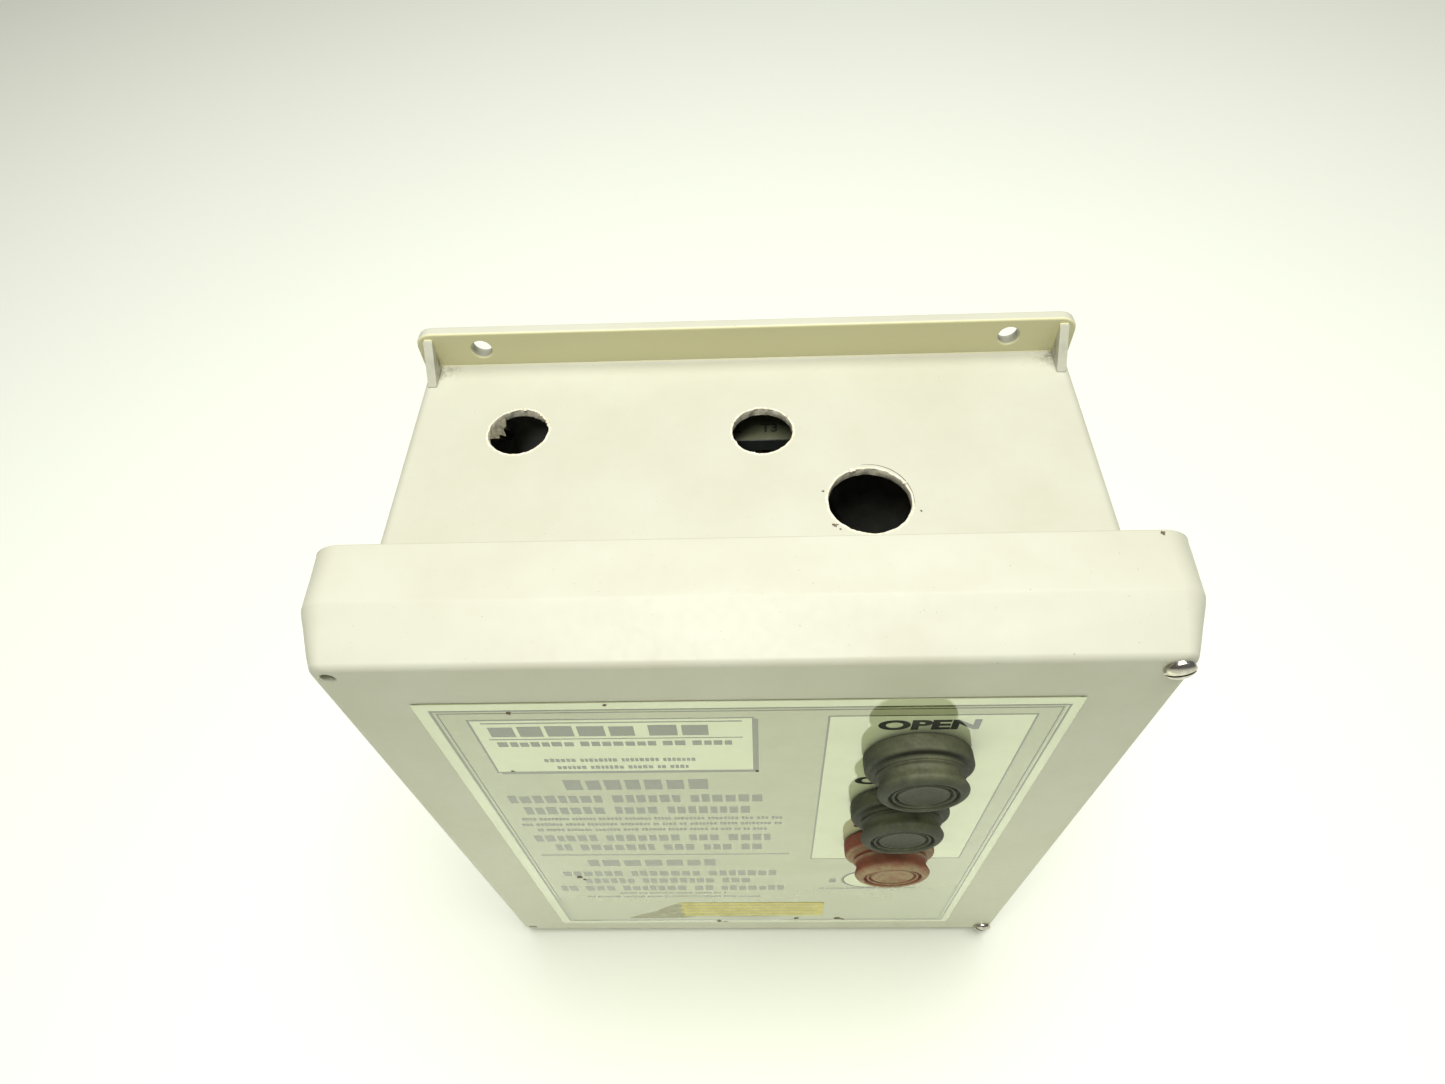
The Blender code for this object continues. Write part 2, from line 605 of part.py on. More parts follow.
def make_transformer():
    """A laminated core with two windows, and the coil that fills them round its middle leg."""
    x, z, middle = TRANSFORMER_X, TRANSFORMER_Z, TRANSFORMER_DEPTH
    stack = (x - 0.030, depth(middle - 0.011), z - 0.025), (x + 0.030, depth(middle + 0.011), z + 0.025)
    core = block("transformer_core", *stack, CORE_STEEL)
    for side in (-1, 1):
        across = sorted((x + side * 0.010, x + side * 0.020))
        cut(core, block("window", (across[0], depth(0.09), z - 0.015), (across[1], depth(0.13), z + 0.015)))
    for end in (-1, 1):
        foot_z = sorted((z + end * 0.0245, z + end * 0.0280))
        foot = (x - 0.024, depth(middle - 0.009), foot_z[0]), (x + 0.024, depth(ON_PLATE), foot_z[1])
        join(core, block("foot", *foot))
    winding_low = (x - 0.0196, depth(middle - 0.020), z - 0.0146)
    winding = winding_low, (x + 0.0196, depth(middle + 0.020), z + 0.0146)
    coil = block("transformer_coil", *winding, COIL_TAPE)
    bore = (x - 0.0104, depth(middle - 0.0114), z - 0.02), (x + 0.0104, depth(middle + 0.0114), z + 0.02)
    cut(coil, block("bore", *bore))


def make_fuse():
    x, z, y = TRANSFORMER_X, FUSE_Z, depth(FUSE_DEPTH)
    base = (x - 0.030, depth(0.1240), z - 0.009), (x + 0.030, depth(ON_PLATE), z + 0.009)
    holder = block("fuse_holder", *base, DARK_BAKELITE)
    for side in (-1, 1):
        across = sorted((x + side * 0.0105, x + side * 0.0155))
        clip = (across[0], depth(0.1120), z - 0.0050), (across[1], depth(0.1250), z + 0.0050)
        join(holder, block("clip", *clip))
        cut(holder, rod("seat", (across[0] - OVERLAP, y, z), (across[1] + OVERLAP, y, z), 0.0035, sides=20))
        mouth_low = (across[0] - OVERLAP, depth(0.1110), z - 0.0026)
        cut(holder, block("mouth", mouth_low, (across[1] + OVERLAP, y, z + 0.0026)))
    rod("fuse", (x - 0.016, y, z), (x + 0.016, y, z), 0.0032, FUSE_GLASS, 20)


def make_terminal_strip():
    half, ways = 0.044, 8
    low = (STRIP_X - half, depth(0.1180), STRIP_Z - 0.011)
    high = (STRIP_X + half, depth(ON_PLATE), STRIP_Z + 0.011)
    strip = block("terminal_strip", low, high, DARK_BAKELITE)
    for k in range(ways + 1):
        x = STRIP_X - half + 0.0012 + k * (2 * half - 0.0024) / ways
        barrier_low = (x - 0.0008, depth(0.1100), STRIP_Z - 0.0105)
        barrier = barrier_low, (x + 0.0008, depth(0.1190), STRIP_Z + 0.0105)
        join(strip, block("barrier", *barrier))


def make_motor_strip():
    """The three-way strip under the conduit holes, its terminals open to the front and below."""
    half = 1.9 * TERMINAL_SPACING
    low = (MOTOR_STRIP_X - half, depth(MOTOR_STRIP_FRONT), MOTOR_STRIP_LOW)
    high = (MOTOR_STRIP_X + half, depth(ON_PLATE), MOTOR_STRIP_HIGH)
    strip = block("motor_terminal_strip", low, high, DARK_BAKELITE)
    for k in (-1, 0, 1):
        x = MOTOR_STRIP_X + k * TERMINAL_SPACING
        recess_low = (x - 0.0055, depth(MOTOR_STRIP_FRONT - OVERLAP), MOTOR_STRIP_LOW - OVERLAP)
        recess_high = (x + 0.0055, depth(MOTOR_STRIP_FRONT + 0.0070), MOTOR_STRIP_HIGH - 0.0060)
        cut(strip, block("recess", recess_low, recess_high))


def make_ground_lug():
    body = (LUG_X - 0.006, depth(0.1200), LUG_Z - 0.008), (LUG_X + 0.006, depth(ON_PLATE), LUG_Z + 0.008)
    lug = block("ground_lug", *body, PLATED_BRASS)
    hole_ends = (LUG_X, depth(0.1265), LUG_Z - 0.01), (LUG_X, depth(0.1265), LUG_Z + 0.01)
    cut(lug, rod("wire_hole", *hole_ends, 0.0030, sides=20))
    cut(lug, front_hole(LUG_X, LUG_Z, 0.0025, 0.1190, 0.1260, 20))
    slotted_screw("ground_screw", LUG_X, LUG_Z, 0.1197, 0.0040, 0.0022, 0.0021, 0.1245, PLATED_BRASS)


def make_loom():
    """The socket on the plate, and the plug and cable that come away with the cover."""
    x, z = PLUG_X, PLUG_Z
    body = (x - 0.013, depth(0.1040), z - 0.008), (x + 0.013, depth(ON_PLATE), z + 0.008)
    socket = block("loom_socket", *body, WHITE_NYLON)
    recess = (x - 0.0106, depth(0.1), z - 0.0056), (x + 0.0106, depth(0.116), z + 0.0056)
    cut(socket, block("recess", *recess))
    plug = (x - 0.010, depth(0.0940), z - 0.005), (x + 0.010, depth(0.1140), z + 0.005)
    block("loom_plug", *plug, WHITE_NYLON)
    knots = ((x, 0.0937), (x, 0.0830), (0.0970, 0.0660), (0.0920, 0.0500), (0.0840, 0.0390))
    knots += ((0.0770, 0.0345), (0.0718, 0.0340))
    route = smooth_route([(across, depth(behind), z) for across, behind in knots], 3)
    tube_along("button_loom", route, 0.0025, BLACK_WIRE)


def make_wires():
    left, right = CONTACTOR_X["close"], CONTACTOR_X["open"]
    for k, name in ((-1, "line_wire_1"), (0, "line_wire_2"), (1, "line_wire_3")):
        start, end = left + k * TERMINAL_SPACING, right + k * TERMINAL_SPACING
        bow = 0.0660 + k * 0.0090
        knots = [(start, 0.0660, 0.2445), (start, 0.0660, 0.2560), (start + 0.006, bow, 0.2680)]
        knots.append(((start + end) / 2, bow, 0.2740))
        knots += [(end - 0.006, bow, 0.2680), (end, 0.0660, 0.2560), (end, 0.0660, 0.2445)]
        tube_along(name, smooth_route([(x, depth(d), z) for x, d, z in knots], 3), 0.0015, BLACK_WIRE)
    x, z = TRANSFORMER_X, TRANSFORMER_Z
    feed = ((x - 0.008, 0.0875, z + 0.004), (x - 0.008, 0.0835, z + 0.004), (x - 0.011, 0.0790, z + 0.010))
    feed += ((x - 0.017, 0.0840, z + 0.026), (x - 0.024, 0.1020, z + 0.042))
    feed += ((x - 0.026, 0.1160, FUSE_Z - 0.001), (x - 0.026, 0.1237, FUSE_Z))
    route = smooth_route([(a, depth(d), b) for a, d, b in feed], 3)
    tube_along("control_wire_feed", route, 0.0012, RED_WIRE)
    load = ((x + 0.026, 0.1237, FUSE_Z), (x + 0.026, 0.1150, FUSE_Z + 0.002))
    load += ((x + 0.018, 0.1070, FUSE_Z + 0.010), (x, 0.1030, FUSE_Z + 0.016))
    load += ((x - 0.018, 0.1010, RELAY_Z), (0.0323, 0.1000, RELAY_Z))
    route = smooth_route([(a, depth(d), b) for a, d, b in load], 3)
    tube_along("control_wire_load", route, 0.0012, RED_WIRE)


make_box()
make_plate()
make_cover()
make_label()
make_cover_screws()
for order, button in enumerate(BUTTONS):
    make_button(order, button, RED_RUBBER if button == "stop" else BLACK_RUBBER)
for side_name, side_x in CONTACTOR_X.items():
    make_contactor(side_name, side_x)
make_overload_relay()
make_transformer()
make_fuse()
make_terminal_strip()
make_motor_strip()
make_ground_lug()
make_loom()
make_wires()
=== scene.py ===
"""Finished looks of a garage door opener's wall control box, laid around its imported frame.

Metres, +Z up, front towards -Y. Depths are counted from the cover's front face towards the wall.
Run as a script: main() registers the panel and its operators and calls them in order.
"""

import math

import bmesh
import bpy
import numpy as np
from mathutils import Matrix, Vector


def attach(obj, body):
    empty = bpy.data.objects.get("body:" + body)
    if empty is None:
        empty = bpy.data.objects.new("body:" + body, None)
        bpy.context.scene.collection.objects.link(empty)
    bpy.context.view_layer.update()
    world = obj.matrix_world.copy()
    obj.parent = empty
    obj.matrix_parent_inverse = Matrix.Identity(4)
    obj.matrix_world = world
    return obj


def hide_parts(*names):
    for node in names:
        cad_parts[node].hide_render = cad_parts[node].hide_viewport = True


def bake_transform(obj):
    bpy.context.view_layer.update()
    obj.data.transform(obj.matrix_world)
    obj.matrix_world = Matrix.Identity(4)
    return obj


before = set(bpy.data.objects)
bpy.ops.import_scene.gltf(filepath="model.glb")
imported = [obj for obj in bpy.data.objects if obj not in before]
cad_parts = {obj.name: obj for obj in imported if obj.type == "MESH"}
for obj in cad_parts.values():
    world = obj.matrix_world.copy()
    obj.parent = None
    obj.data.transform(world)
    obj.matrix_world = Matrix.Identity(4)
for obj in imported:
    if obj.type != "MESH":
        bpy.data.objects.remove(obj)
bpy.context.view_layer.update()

bl_info = {
    "name": "Door opener control box",
    "version": (1, 0, 0),
    "blender": (4, 5, 0),
    "location": "3D View > Sidebar > Control box",
    "description": "Builds the finished pieces of a wall control box with three push buttons",
    "category": "Object",
}

MM = 0.001

# Places shared by several pieces.
FRONT_Y = -0.06375
CENTER_Z = 0.1623
BOX_LOW = 0.01555
BOX_HIGH = 0.30905
BUTTON_X = 0.0575
BUTTON_Z = {"open": 0.25245, "close": 0.2067, "stop": 0.16095}
CONTACTOR_X = {"close": -0.0460, "open": 0.0080}
CONTACTOR_Z = 0.2160
TERMINAL_SPACING = 0.0150
RELAY_Z = 0.1500
STRIP_X = -0.0580
STRIP_Z = 0.0620
MOTOR_STRIP_X = -0.0053
TRANSFORMER_X = 0.0660
TRANSFORMER_Z = 0.0800
FUSE_Z = 0.1320
FUSE_DEPTH = 0.1160
LABEL_FRONT = -0.0004
LABEL_RISE = 0.00095
INK = 0.00003
RING_X, RING_Z = 0.0560, 0.10445
BOX_HALF = 0.1250
BACK = 0.1440
FLANGE_FRONT = 0.1393
GUSSET_X = 0.1207
SCREW_X, SCREW_Z = 0.1264, 0.1489
SCREW_BORE = 0.0023
FOOT_X, FOOT_Z = 0.1000, 0.1180
MOUNT_X, MOUNT_OFF = 0.1012, 0.0085
COVER_HALF_X, COVER_HALF_Z = 0.1382, 0.16135
BEND_DEPTH, BEND_INSET = 0.0195, 0.0071
HEAD_FRONT = 0.0527
RELAY_FRONT = 0.0660
PLUG_X, PLUG_Z = 0.0980, 0.20670
CRUMB = ((0.2, -0.8), (0.9, -0.3), (1.0, 0.2), (0.5, 0.6), (0.1, 0.7))
CONDUIT_HOLES = ((-0.0836, 0.1031, 0.0111), (0.0067, 0.1009, 0.0111), (0.0428, 0.0671, 0.01425))


def depth(distance):
    """World Y of a plane this far behind the cover's front face."""
    return FRONT_Y + distance


# ---------------------------------------------------------------- surfaces


def rounded_outline(half_width, half_height, radius, arc=8, side=10):
    """Rounded rectangles, one a row: quarter circles about the four inner corners, and evenly
    spaced points on the straights between them."""
    half_width, half_height, radius = np.broadcast_arrays(
        *(np.atleast_1d(np.asarray(size, float)) for size in (half_width, half_height, radius))
    )
    turn = np.linspace(0, np.pi / 2, arc + 1)
    quarters = []
    for quarter, (across, up) in enumerate(((1, 1), (-1, 1), (-1, -1), (1, -1))):
        angle = turn + quarter * np.pi / 2
        x = across * (half_width - radius)[:, None] + radius[:, None] * np.cos(angle)
        z = up * (half_height - radius)[:, None] + radius[:, None] * np.sin(angle)
        quarters.append(np.stack([x, z], axis=-1))
    share = np.linspace(0, 1, side + 2)[1:-1][None, :, None]
    runs = []
    for quarter in range(4):
        here, after = quarters[quarter], quarters[(quarter + 1) % 4]
        runs += [here, here[:, -1:] * (1 - share) + after[:, :1] * share]
    return np.concatenate(runs, axis=1)


def loft(rings, capped=True):
    """Quads between neighbouring rings, each closed on itself. A cap is a fan to its ring's centre."""
    count, around = rings.shape[:2]
    points = rings.reshape(-1, 3)
    row, column = np.meshgrid(np.arange(count - 1), np.arange(around), indexing="ij")
    after = (column + 1) % around
    corners = (
        row * around + column, row * around + after, (row + 1) * around + after, (row + 1) * around + column
    )
    faces = np.stack(corners, axis=-1).reshape(-1, 4).tolist()
    if capped:
        points = np.concatenate([points, rings[[0, -1]].mean(axis=1)])
        here = np.arange(around)
        after = (here + 1) % around
        last = (count - 1) * around
        faces += np.stack([after, here, np.full(around, count * around)], axis=-1).tolist()
        faces += np.stack([last + here, last + after, np.full(around, count * around + 1)], axis=-1).tolist()
    return points, faces


def block(low, high, corner, edge=0.0003, axis=1, arc=4):
    """A box between two corners: a rounded rectangle carried along one axis, drawn in at both ends
    by a quarter circle of the edge radius."""
    low, high = np.array(low, float), np.array(high, float)
    across, up = [k for k in range(3) if k != axis]
    middle, half = (low + high) / 2, (high - low) / 2
    bend = np.linspace(0, np.pi / 2, arc + 1)
    inset = edge * np.concatenate([1 - np.sin(bend), 1 - np.sin(bend[::-1])])
    along = np.concatenate(
        [low[axis] + edge * (1 - np.cos(bend)), high[axis] - edge * (1 - np.cos(bend[::-1]))]
    )
    flat = rounded_outline(
        half[across] - inset, half[up] - inset, np.maximum(corner - inset, 0.00002), arc, 1
    )
    rings = np.empty((*flat.shape[:2], 3))
    rings[..., across] = middle[across] + flat[..., 0]
    rings[..., up] = middle[up] + flat[..., 1]
    rings[..., axis] = along[:, None]
    return loft(rings)


def turned(profile, center, axis=1, around=48, swell=None):
    """A turned shape: at each (radius, height) of the profile a circle about the centre. Heights run
    along the axis, towards -Y when it is 1. swell(angle, height) scales the radius."""
    profile = np.array(profile, float)
    angle = np.linspace(0, 2 * np.pi, around, endpoint=False)
    radius = np.maximum(profile[:, :1], 0.00002) * np.ones(around)
    if swell is not None:
        radius = radius * swell(angle[None, :], profile[:, 1:])
    across, up = [k for k in range(3) if k != axis]
    rings = np.empty((len(profile), around, 3))
    rings[..., across] = center[across] + radius * np.cos(angle)
    rings[..., up] = center[up] + radius * np.sin(angle)
    rings[..., axis] = center[axis] + (-1 if axis == 1 else 1) * profile[:, 1:]
    return loft(rings)


def ring_of(profile, center, axis=1, around=48, swell=None):
    """A turned shape with a bore: its profile is a closed loop, so the last circle joins the first."""
    points, faces = turned(list(profile) + [profile[0]], center, axis, around, swell)
    rings = points[: (len(profile) + 1) * around].reshape(len(profile) + 1, around, 3)
    return loft(rings, capped=False)


def curve_through(knots, steps=8):
    """Points on the Catmull-Rom curve through the knots: the usual cubic in each span's parameter."""
    knots = np.array(knots, float)
    padded = np.concatenate([[2 * knots[0] - knots[1]], knots, [2 * knots[-1] - knots[-2]]])
    a, b, c, d = (padded[k : len(padded) - 3 + k, None] for k in range(4))
    t = np.linspace(0, 1, steps, endpoint=False)[None, :, None]
    spans = 0.5 * (2 * b + (c - a) * t + (2 * a - 5 * b + 4 * c - d) * t**2 + (3 * b - a - 3 * c + d) * t**3)
    return np.concatenate([spans.reshape(-1, knots.shape[1]), knots[-1:]])


def sweep(route, radius, around=10):
    """A round tube along a route: at each point a circle in the plane across the path, with one side
    kept as near as it can be to one fixed direction."""
    route = np.asarray(route, float)
    ahead = np.gradient(route, axis=0)
    ahead /= np.linalg.norm(ahead, axis=1, keepdims=True)
    lean = np.abs(ahead).mean(axis=0)
    fixed = np.eye(3)[np.argmin(lean)]
    side = np.cross(ahead, fixed)
    side /= np.linalg.norm(side, axis=1, keepdims=True)
    other = np.cross(ahead, side)
    angle = np.linspace(0, 2 * np.pi, around, endpoint=False)[None, :, None]
    size = np.broadcast_to(np.asarray(radius, float).reshape(-1, 1, 1), (len(route), 1, 1))
    return loft(route[:, None] + size * (np.cos(angle) * side[:, None] + np.sin(angle) * other[:, None]))


def helix(center_x, center_z, start, end, radius, turns):
    """Points on a screw line about an axis along Y: the angle grows evenly with the depth, except for
    the three quarters of a turn at each end that lie almost flat."""
    share = np.linspace(0, 1, int(turns * 40))
    angle = 2 * np.pi * turns * share
    rise = np.clip((share * turns - 0.75) / (turns - 1.5), 0, 1)
    along = start + (end - start) * (0.08 * share + 0.92 * rise)
    return np.stack(
        [center_x + radius * np.cos(angle), FRONT_Y + along, center_z + radius * np.sin(angle)], axis=-1
    )


def prism(outline, low, high, axis=1):
    """A flat outline carried straight between two planes."""
    outline = np.array(outline, float)
    across, up = [k for k in range(3) if k != axis]
    rings = np.empty((2, len(outline), 3))
    rings[..., across] = outline[:, 0]
    rings[..., up] = outline[:, 1]
    rings[..., axis] = np.array([[low], [high]])
    points, faces = loft(rings, capped=False)
    count = len(outline)
    return points, faces + [list(range(count)), list(range(count, 2 * count))]


def together(*shapes):
    """Several shapes as one list of points and faces."""
    points, faces, start = [], [], 0
    for place, polygons in shapes:
        points.append(place)
        faces += [[corner + start for corner in polygon] for polygon in polygons]
        start += len(place)
    return np.concatenate(points), faces


# ---------------------------------------------------------------- pieces


def solid(name, shape, smooth=35):
    """A mesh object at the origin from points and faces, with its faces turned outwards."""
    points, faces = shape
    mesh = bpy.data.meshes.new(name)
    mesh.from_pydata(np.asarray(points).tolist(), [], faces)
    face_outwards(mesh)
    mesh.shade_smooth()
    mesh.set_sharp_from_angle(angle=math.radians(smooth))
    made = bpy.data.objects.new(name, mesh)
    bpy.context.scene.collection.objects.link(made)
    return made


def face_outwards(mesh):
    """Turns every face of a closed mesh outwards."""
    bm = bmesh.new()
    bm.from_mesh(mesh)
    bmesh.ops.recalc_face_normals(bm, faces=bm.faces)
    bm.to_mesh(mesh)
    bm.free()


def settle(piece, smooth=35):
    """Applies the piece's modifiers."""
    graph = bpy.context.evaluated_depsgraph_get()
    mesh = bpy.data.meshes.new_from_object(piece.evaluated_get(graph))
    piece.modifiers.clear()
    piece.data = mesh
    mesh.shade_smooth()
    mesh.set_sharp_from_angle(angle=math.radians(smooth))
    return piece


def combine(piece, operation, *shapes):
    """Joins shapes to a piece, or cuts them from it, one after another."""
    for shape in shapes:
        tool = solid("tool", shape)
        step = piece.modifiers.new("combine", "BOOLEAN")
        step.operation = operation
        step.solver = "EXACT"
        step.object = tool
        bpy.context.view_layer.update()
        settle(piece)
        bpy.data.objects.remove(tool, do_unlink=True)
    return piece


def dress(piece, body, slot, *finishes, stands_for=None):
    """Gives a piece its finishes and its body, and hides the CAD node that it stands for. The slot is not
    used. A weighted normal keeps wide flat faces evenly shaded."""
    piece.data.materials.clear()
    for finish in finishes:
        piece.data.materials.append(FINISHES[finish])
    level = piece.modifiers.new("level", "WEIGHTED_NORMAL")
    level.keep_sharp = True
    if body is not None:
        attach(piece, body)
    if stands_for:
        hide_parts(stands_for)
    return piece


def lay(name, shapes, body, slot, finish, smooth=35):
    """One finished piece of several shapes."""
    dress(solid(name, together(*shapes), smooth), body, slot, finish)


def refined(node, body, slot, width, *finishes, second=None):
    """A CAD node's shape with its edges rounded: a merged copy, its flat faces made whole, bevelled.
    second(centres) picks the faces that take the second material."""
    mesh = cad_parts[node].data.copy()
    bm = bmesh.new()
    bm.from_mesh(mesh)
    bmesh.ops.remove_doubles(bm, verts=bm.verts, dist=0.000002)
    bmesh.ops.dissolve_limit(bm, angle_limit=math.radians(1), verts=bm.verts, edges=bm.edges)
    bm.to_mesh(mesh)
    bm.free()
    piece = bpy.data.objects.new(node + "_finished", mesh)
    bpy.context.scene.collection.objects.link(piece)
    for layer in list(mesh.uv_layers):
        mesh.uv_layers.remove(layer)
    edge = piece.modifiers.new("edge", "BEVEL")
    edge.width = width
    edge.segments = 2
    edge.limit_method = "ANGLE"
    edge.angle_limit = math.radians(40)
    bpy.context.view_layer.update()
    settle(piece, 30)
    dress(piece, body, slot, *finishes, stands_for=node)
    if second is not None:
        centers = np.empty(len(piece.data.polygons) * 3)
        piece.data.polygons.foreach_get("center", centers)
        piece.data.polygons.foreach_set("material_index", second(centers.reshape(-1, 3)).astype(np.int32))
    return piece


def words(text, size, bold=0.02):
    """The flat mesh of a generic mark: its points about its own middle, and its faces."""
    curve = bpy.data.curves.new("words", "FONT")
    curve.body = text
    curve.size = size
    curve.align_x = "CENTER"
    curve.align_y = "CENTER"
    curve.offset = size * bold
    drawn = bpy.data.objects.new("words", curve)
    bpy.context.scene.collection.objects.link(drawn)
    bpy.context.view_layer.update()
    mesh = bpy.data.meshes.new_from_object(drawn.evaluated_get(bpy.context.evaluated_depsgraph_get()))
    bpy.data.objects.remove(drawn, do_unlink=True)
    bm = bmesh.new()
    bm.from_mesh(mesh)
    bmesh.ops.remove_doubles(bm, verts=bm.verts, dist=size * 0.001)
    bm.to_mesh(mesh)
    bm.free()
    points = np.empty(len(mesh.vertices) * 3)
    mesh.vertices.foreach_get("co", points)
    points = points.reshape(-1, 3)
    faces = [list(polygon.vertices) for polygon in mesh.polygons]
    flat = points[:, :2] - (points[:, :2].min(axis=0) + points[:, :2].max(axis=0)) / 2
    return flat, faces


def printed(flat, faces, center, stretch=(1.0, 1.0), plane="front", thickness=INK):
    """A thin printed layer: a flat mesh moved to its place and given a back face and sides."""
    front = np.zeros((len(flat), 3))
    front[:, 0] = center[0] + flat[:, 0] * stretch[0]
    other, normal = (2, 1) if plane == "front" else (1, 2)
    front[:, other] = center[other] + flat[:, 1] * stretch[1]
    front[:, normal] = center[normal]
    back = front.copy()
    back[:, normal] += thickness if plane == "front" else -thickness
    count = len(flat)
    edges = {}
    for polygon in faces:
        for a, b in zip(polygon, polygon[1:] + polygon[:1]):
            edges[(a, b)] = None
    sides = [[a, b, b + count, a + count] for a, b in edges if (b, a) not in edges]
    return np.concatenate([front, back]), faces + [[c + count for c in p[::-1]] for p in faces] + sides


# ---------------------------------------------------------------- finishes


def linear(code):
    """Linear colour of an sRGB hex value."""
    channels = np.array([int(code[k : k + 2], 16) for k in (1, 3, 5)]) / 255
    straight = np.where(channels <= 0.04045, channels / 12.92, ((channels + 0.055) / 1.055) ** 2.4)
    return (*straight.tolist(), 1.0)


def darker(colour, share):
    """A colour with its three channels scaled."""
    return tuple(share * channel for channel in colour[:3]) + (1.0,)


def add(tree, kind, values=(), out=0, **settings):
    """Adds a node and gives one of its outputs. Settings are its own; a value is an input's number
    or the socket that feeds it."""
    made = tree.nodes.new("ShaderNode" + kind)
    for key, value in settings.items():
        setattr(made, key, value)
    for key, value in dict(values).items():
        socket = made.inputs[key]
        if isinstance(value, bpy.types.NodeSocket):
            tree.links.new(value, socket)
        else:
            socket.default_value = value
    return made.outputs[out]


def begin(name, roughness, metallic=0.0, ior=1.5):
    """A node material with its uniform values set, and Object coordinates to hang patterns on."""
    made = bpy.data.materials.new(name)
    made.use_nodes = True
    tree = made.node_tree
    shader = tree.nodes["Principled BSDF"]
    shader.inputs["Roughness"].default_value = roughness
    shader.inputs["Metallic"].default_value = metallic
    if not metallic:
        shader.inputs["IOR"].default_value = ior
    return made, tree, shader.inputs, add(tree, "TexCoord", out="Object")


def moulded(name, base, shade, patch, grain, relief, roughness, spread, metallic=0.0, ior=1.5, strength=0.5):
    """A moulded, cast or rolled surface: soft patches of a second tone, each about one patch across,
    over a fine grain that breaks up the gloss and stands one relief high."""
    made, tree, skin, place = begin(name, roughness, metallic, ior)
    broad = add(tree, "TexNoise", {"Vector": place, "Scale": 1 / patch, "Detail": 4.0, "Roughness": 0.6})
    fine = add(tree, "TexNoise", {"Vector": place, "Scale": 1 / grain, "Detail": 3.0, "Roughness": 0.6})
    share = add(tree, "MapRange", {"Value": broad, "From Min": 0.35, "From Max": 0.68})
    tone = add(tree, "Mix", {0: share, 6: base, 7: shade}, 2, data_type="RGBA")
    tree.links.new(tone, skin["Base Color"])
    gloss = {"To Min": roughness - spread, "To Max": roughness + spread}
    gloss = add(tree, "MapRange", {"Value": fine, "From Min": 0.3, "From Max": 0.7, **gloss})
    tree.links.new(gloss, skin["Roughness"])
    bump = add(tree, "Bump", {"Height": fine, "Strength": strength, "Distance": relief})
    tree.links.new(bump, skin["Normal"])
    return made, tree, skin, place, tone, bump.node.inputs["Normal"]


def almond_polyester(base, shade, grime):
    """Compression-moulded glass-filled polyester: a satin skin with slow flow marks, faint glass
    fibres under it, dirt in the corners where the flange meets the walls, and painted yellow light on
    the flange's front for light bounced from the top wall. Both are products of ramps across, back and up."""
    made, tree, skin, place, tone, under = moulded(
        "moulded_polyester_almond", base, shade, 0.045, 0.0035, 0.00003, 0.40, 0.05, ior=1.36, strength=0.20
    )
    # Fibre ends are about a millimetre across.
    fibres = add(tree, "TexNoise", {"Vector": place, "Scale": 1 / 0.0011, "Detail": 2.0, "Roughness": 0.5})
    share = add(tree, "MapRange", {"Value": fibres, "From Min": 0.74, "From Max": 0.80})
    tone = add(tree, "Mix", {0: share, 6: tone, 7: linear("#8F8A6E")}, 2, data_type="RGBA")
    flow = add(tree, "TexNoise", {"Vector": place, "Scale": 70.0, "Detail": 1.0, "Distortion": 1.2})
    wave = add(tree, "Bump", {"Height": flow, "Strength": 0.25, "Distance": 0.00020})
    tree.links.new(wave, under)
    parts = add(tree, "SeparateXYZ", {"Vector": place}).node.outputs
    aside = add(tree, "Math", {0: parts["X"]}, operation="ABSOLUTE")
    shares = []
    for source, start, end in (
        (aside, 0.107, 0.123),
        (parts["Y"], depth(0.1290), depth(0.1385)),
        (parts["Y"], depth(0.1408), depth(0.1397)),
        (parts["Z"], 0.3060, 0.3085),
    ):
        ramp = {"Value": source, "From Min": start, "From Max": end}
        shares.append(add(tree, "MapRange", ramp, interpolation_type="SMOOTHSTEP"))
    ramp = {"Value": parts["Z"], "From Min": 0.3125, "From Max": 0.3190, "To Min": 1.0, "To Max": 0.0}
    shares.append(add(tree, "MapRange", ramp))
    patches = add(tree, "TexNoise", {"Vector": place, "Scale": 330.0, "Detail": 5.0, "Roughness": 0.75})
    total = add(tree, "MapRange", {"Value": patches, "From Min": 0.44, "From Max": 0.58})
    for share in shares:
        total = add(tree, "Math", {0: total, 1: share}, operation="MULTIPLY")
    tone = add(tree, "Mix", {0: total, 6: tone, 7: grime}, 2, data_type="RGBA")
    # Painted light: the flange's front above the top wall is mixed towards pale yellow, standing for light
    # bounced from the top wall; aged holds the share of this painted light, not of any ageing.
    aged = 0.9
    for source, start, end in (
        (parts["Y"], depth(0.1386), depth(0.1391)),
        (parts["Y"], depth(0.1401), depth(0.1396)),
        (parts["Z"], 0.3085, 0.3105),
    ):
        share = add(tree, "MapRange", {"Value": source, "From Min": start, "From Max": end})
        aged = add(tree, "Math", {0: aged, 1: share}, operation="MULTIPLY")
    tone = add(tree, "Mix", {0: aged, 6: tone, 7: linear("#D6D2A4")}, 2, data_type="RGBA")
    tree.links.new(tone, skin["Base Color"])
    return made


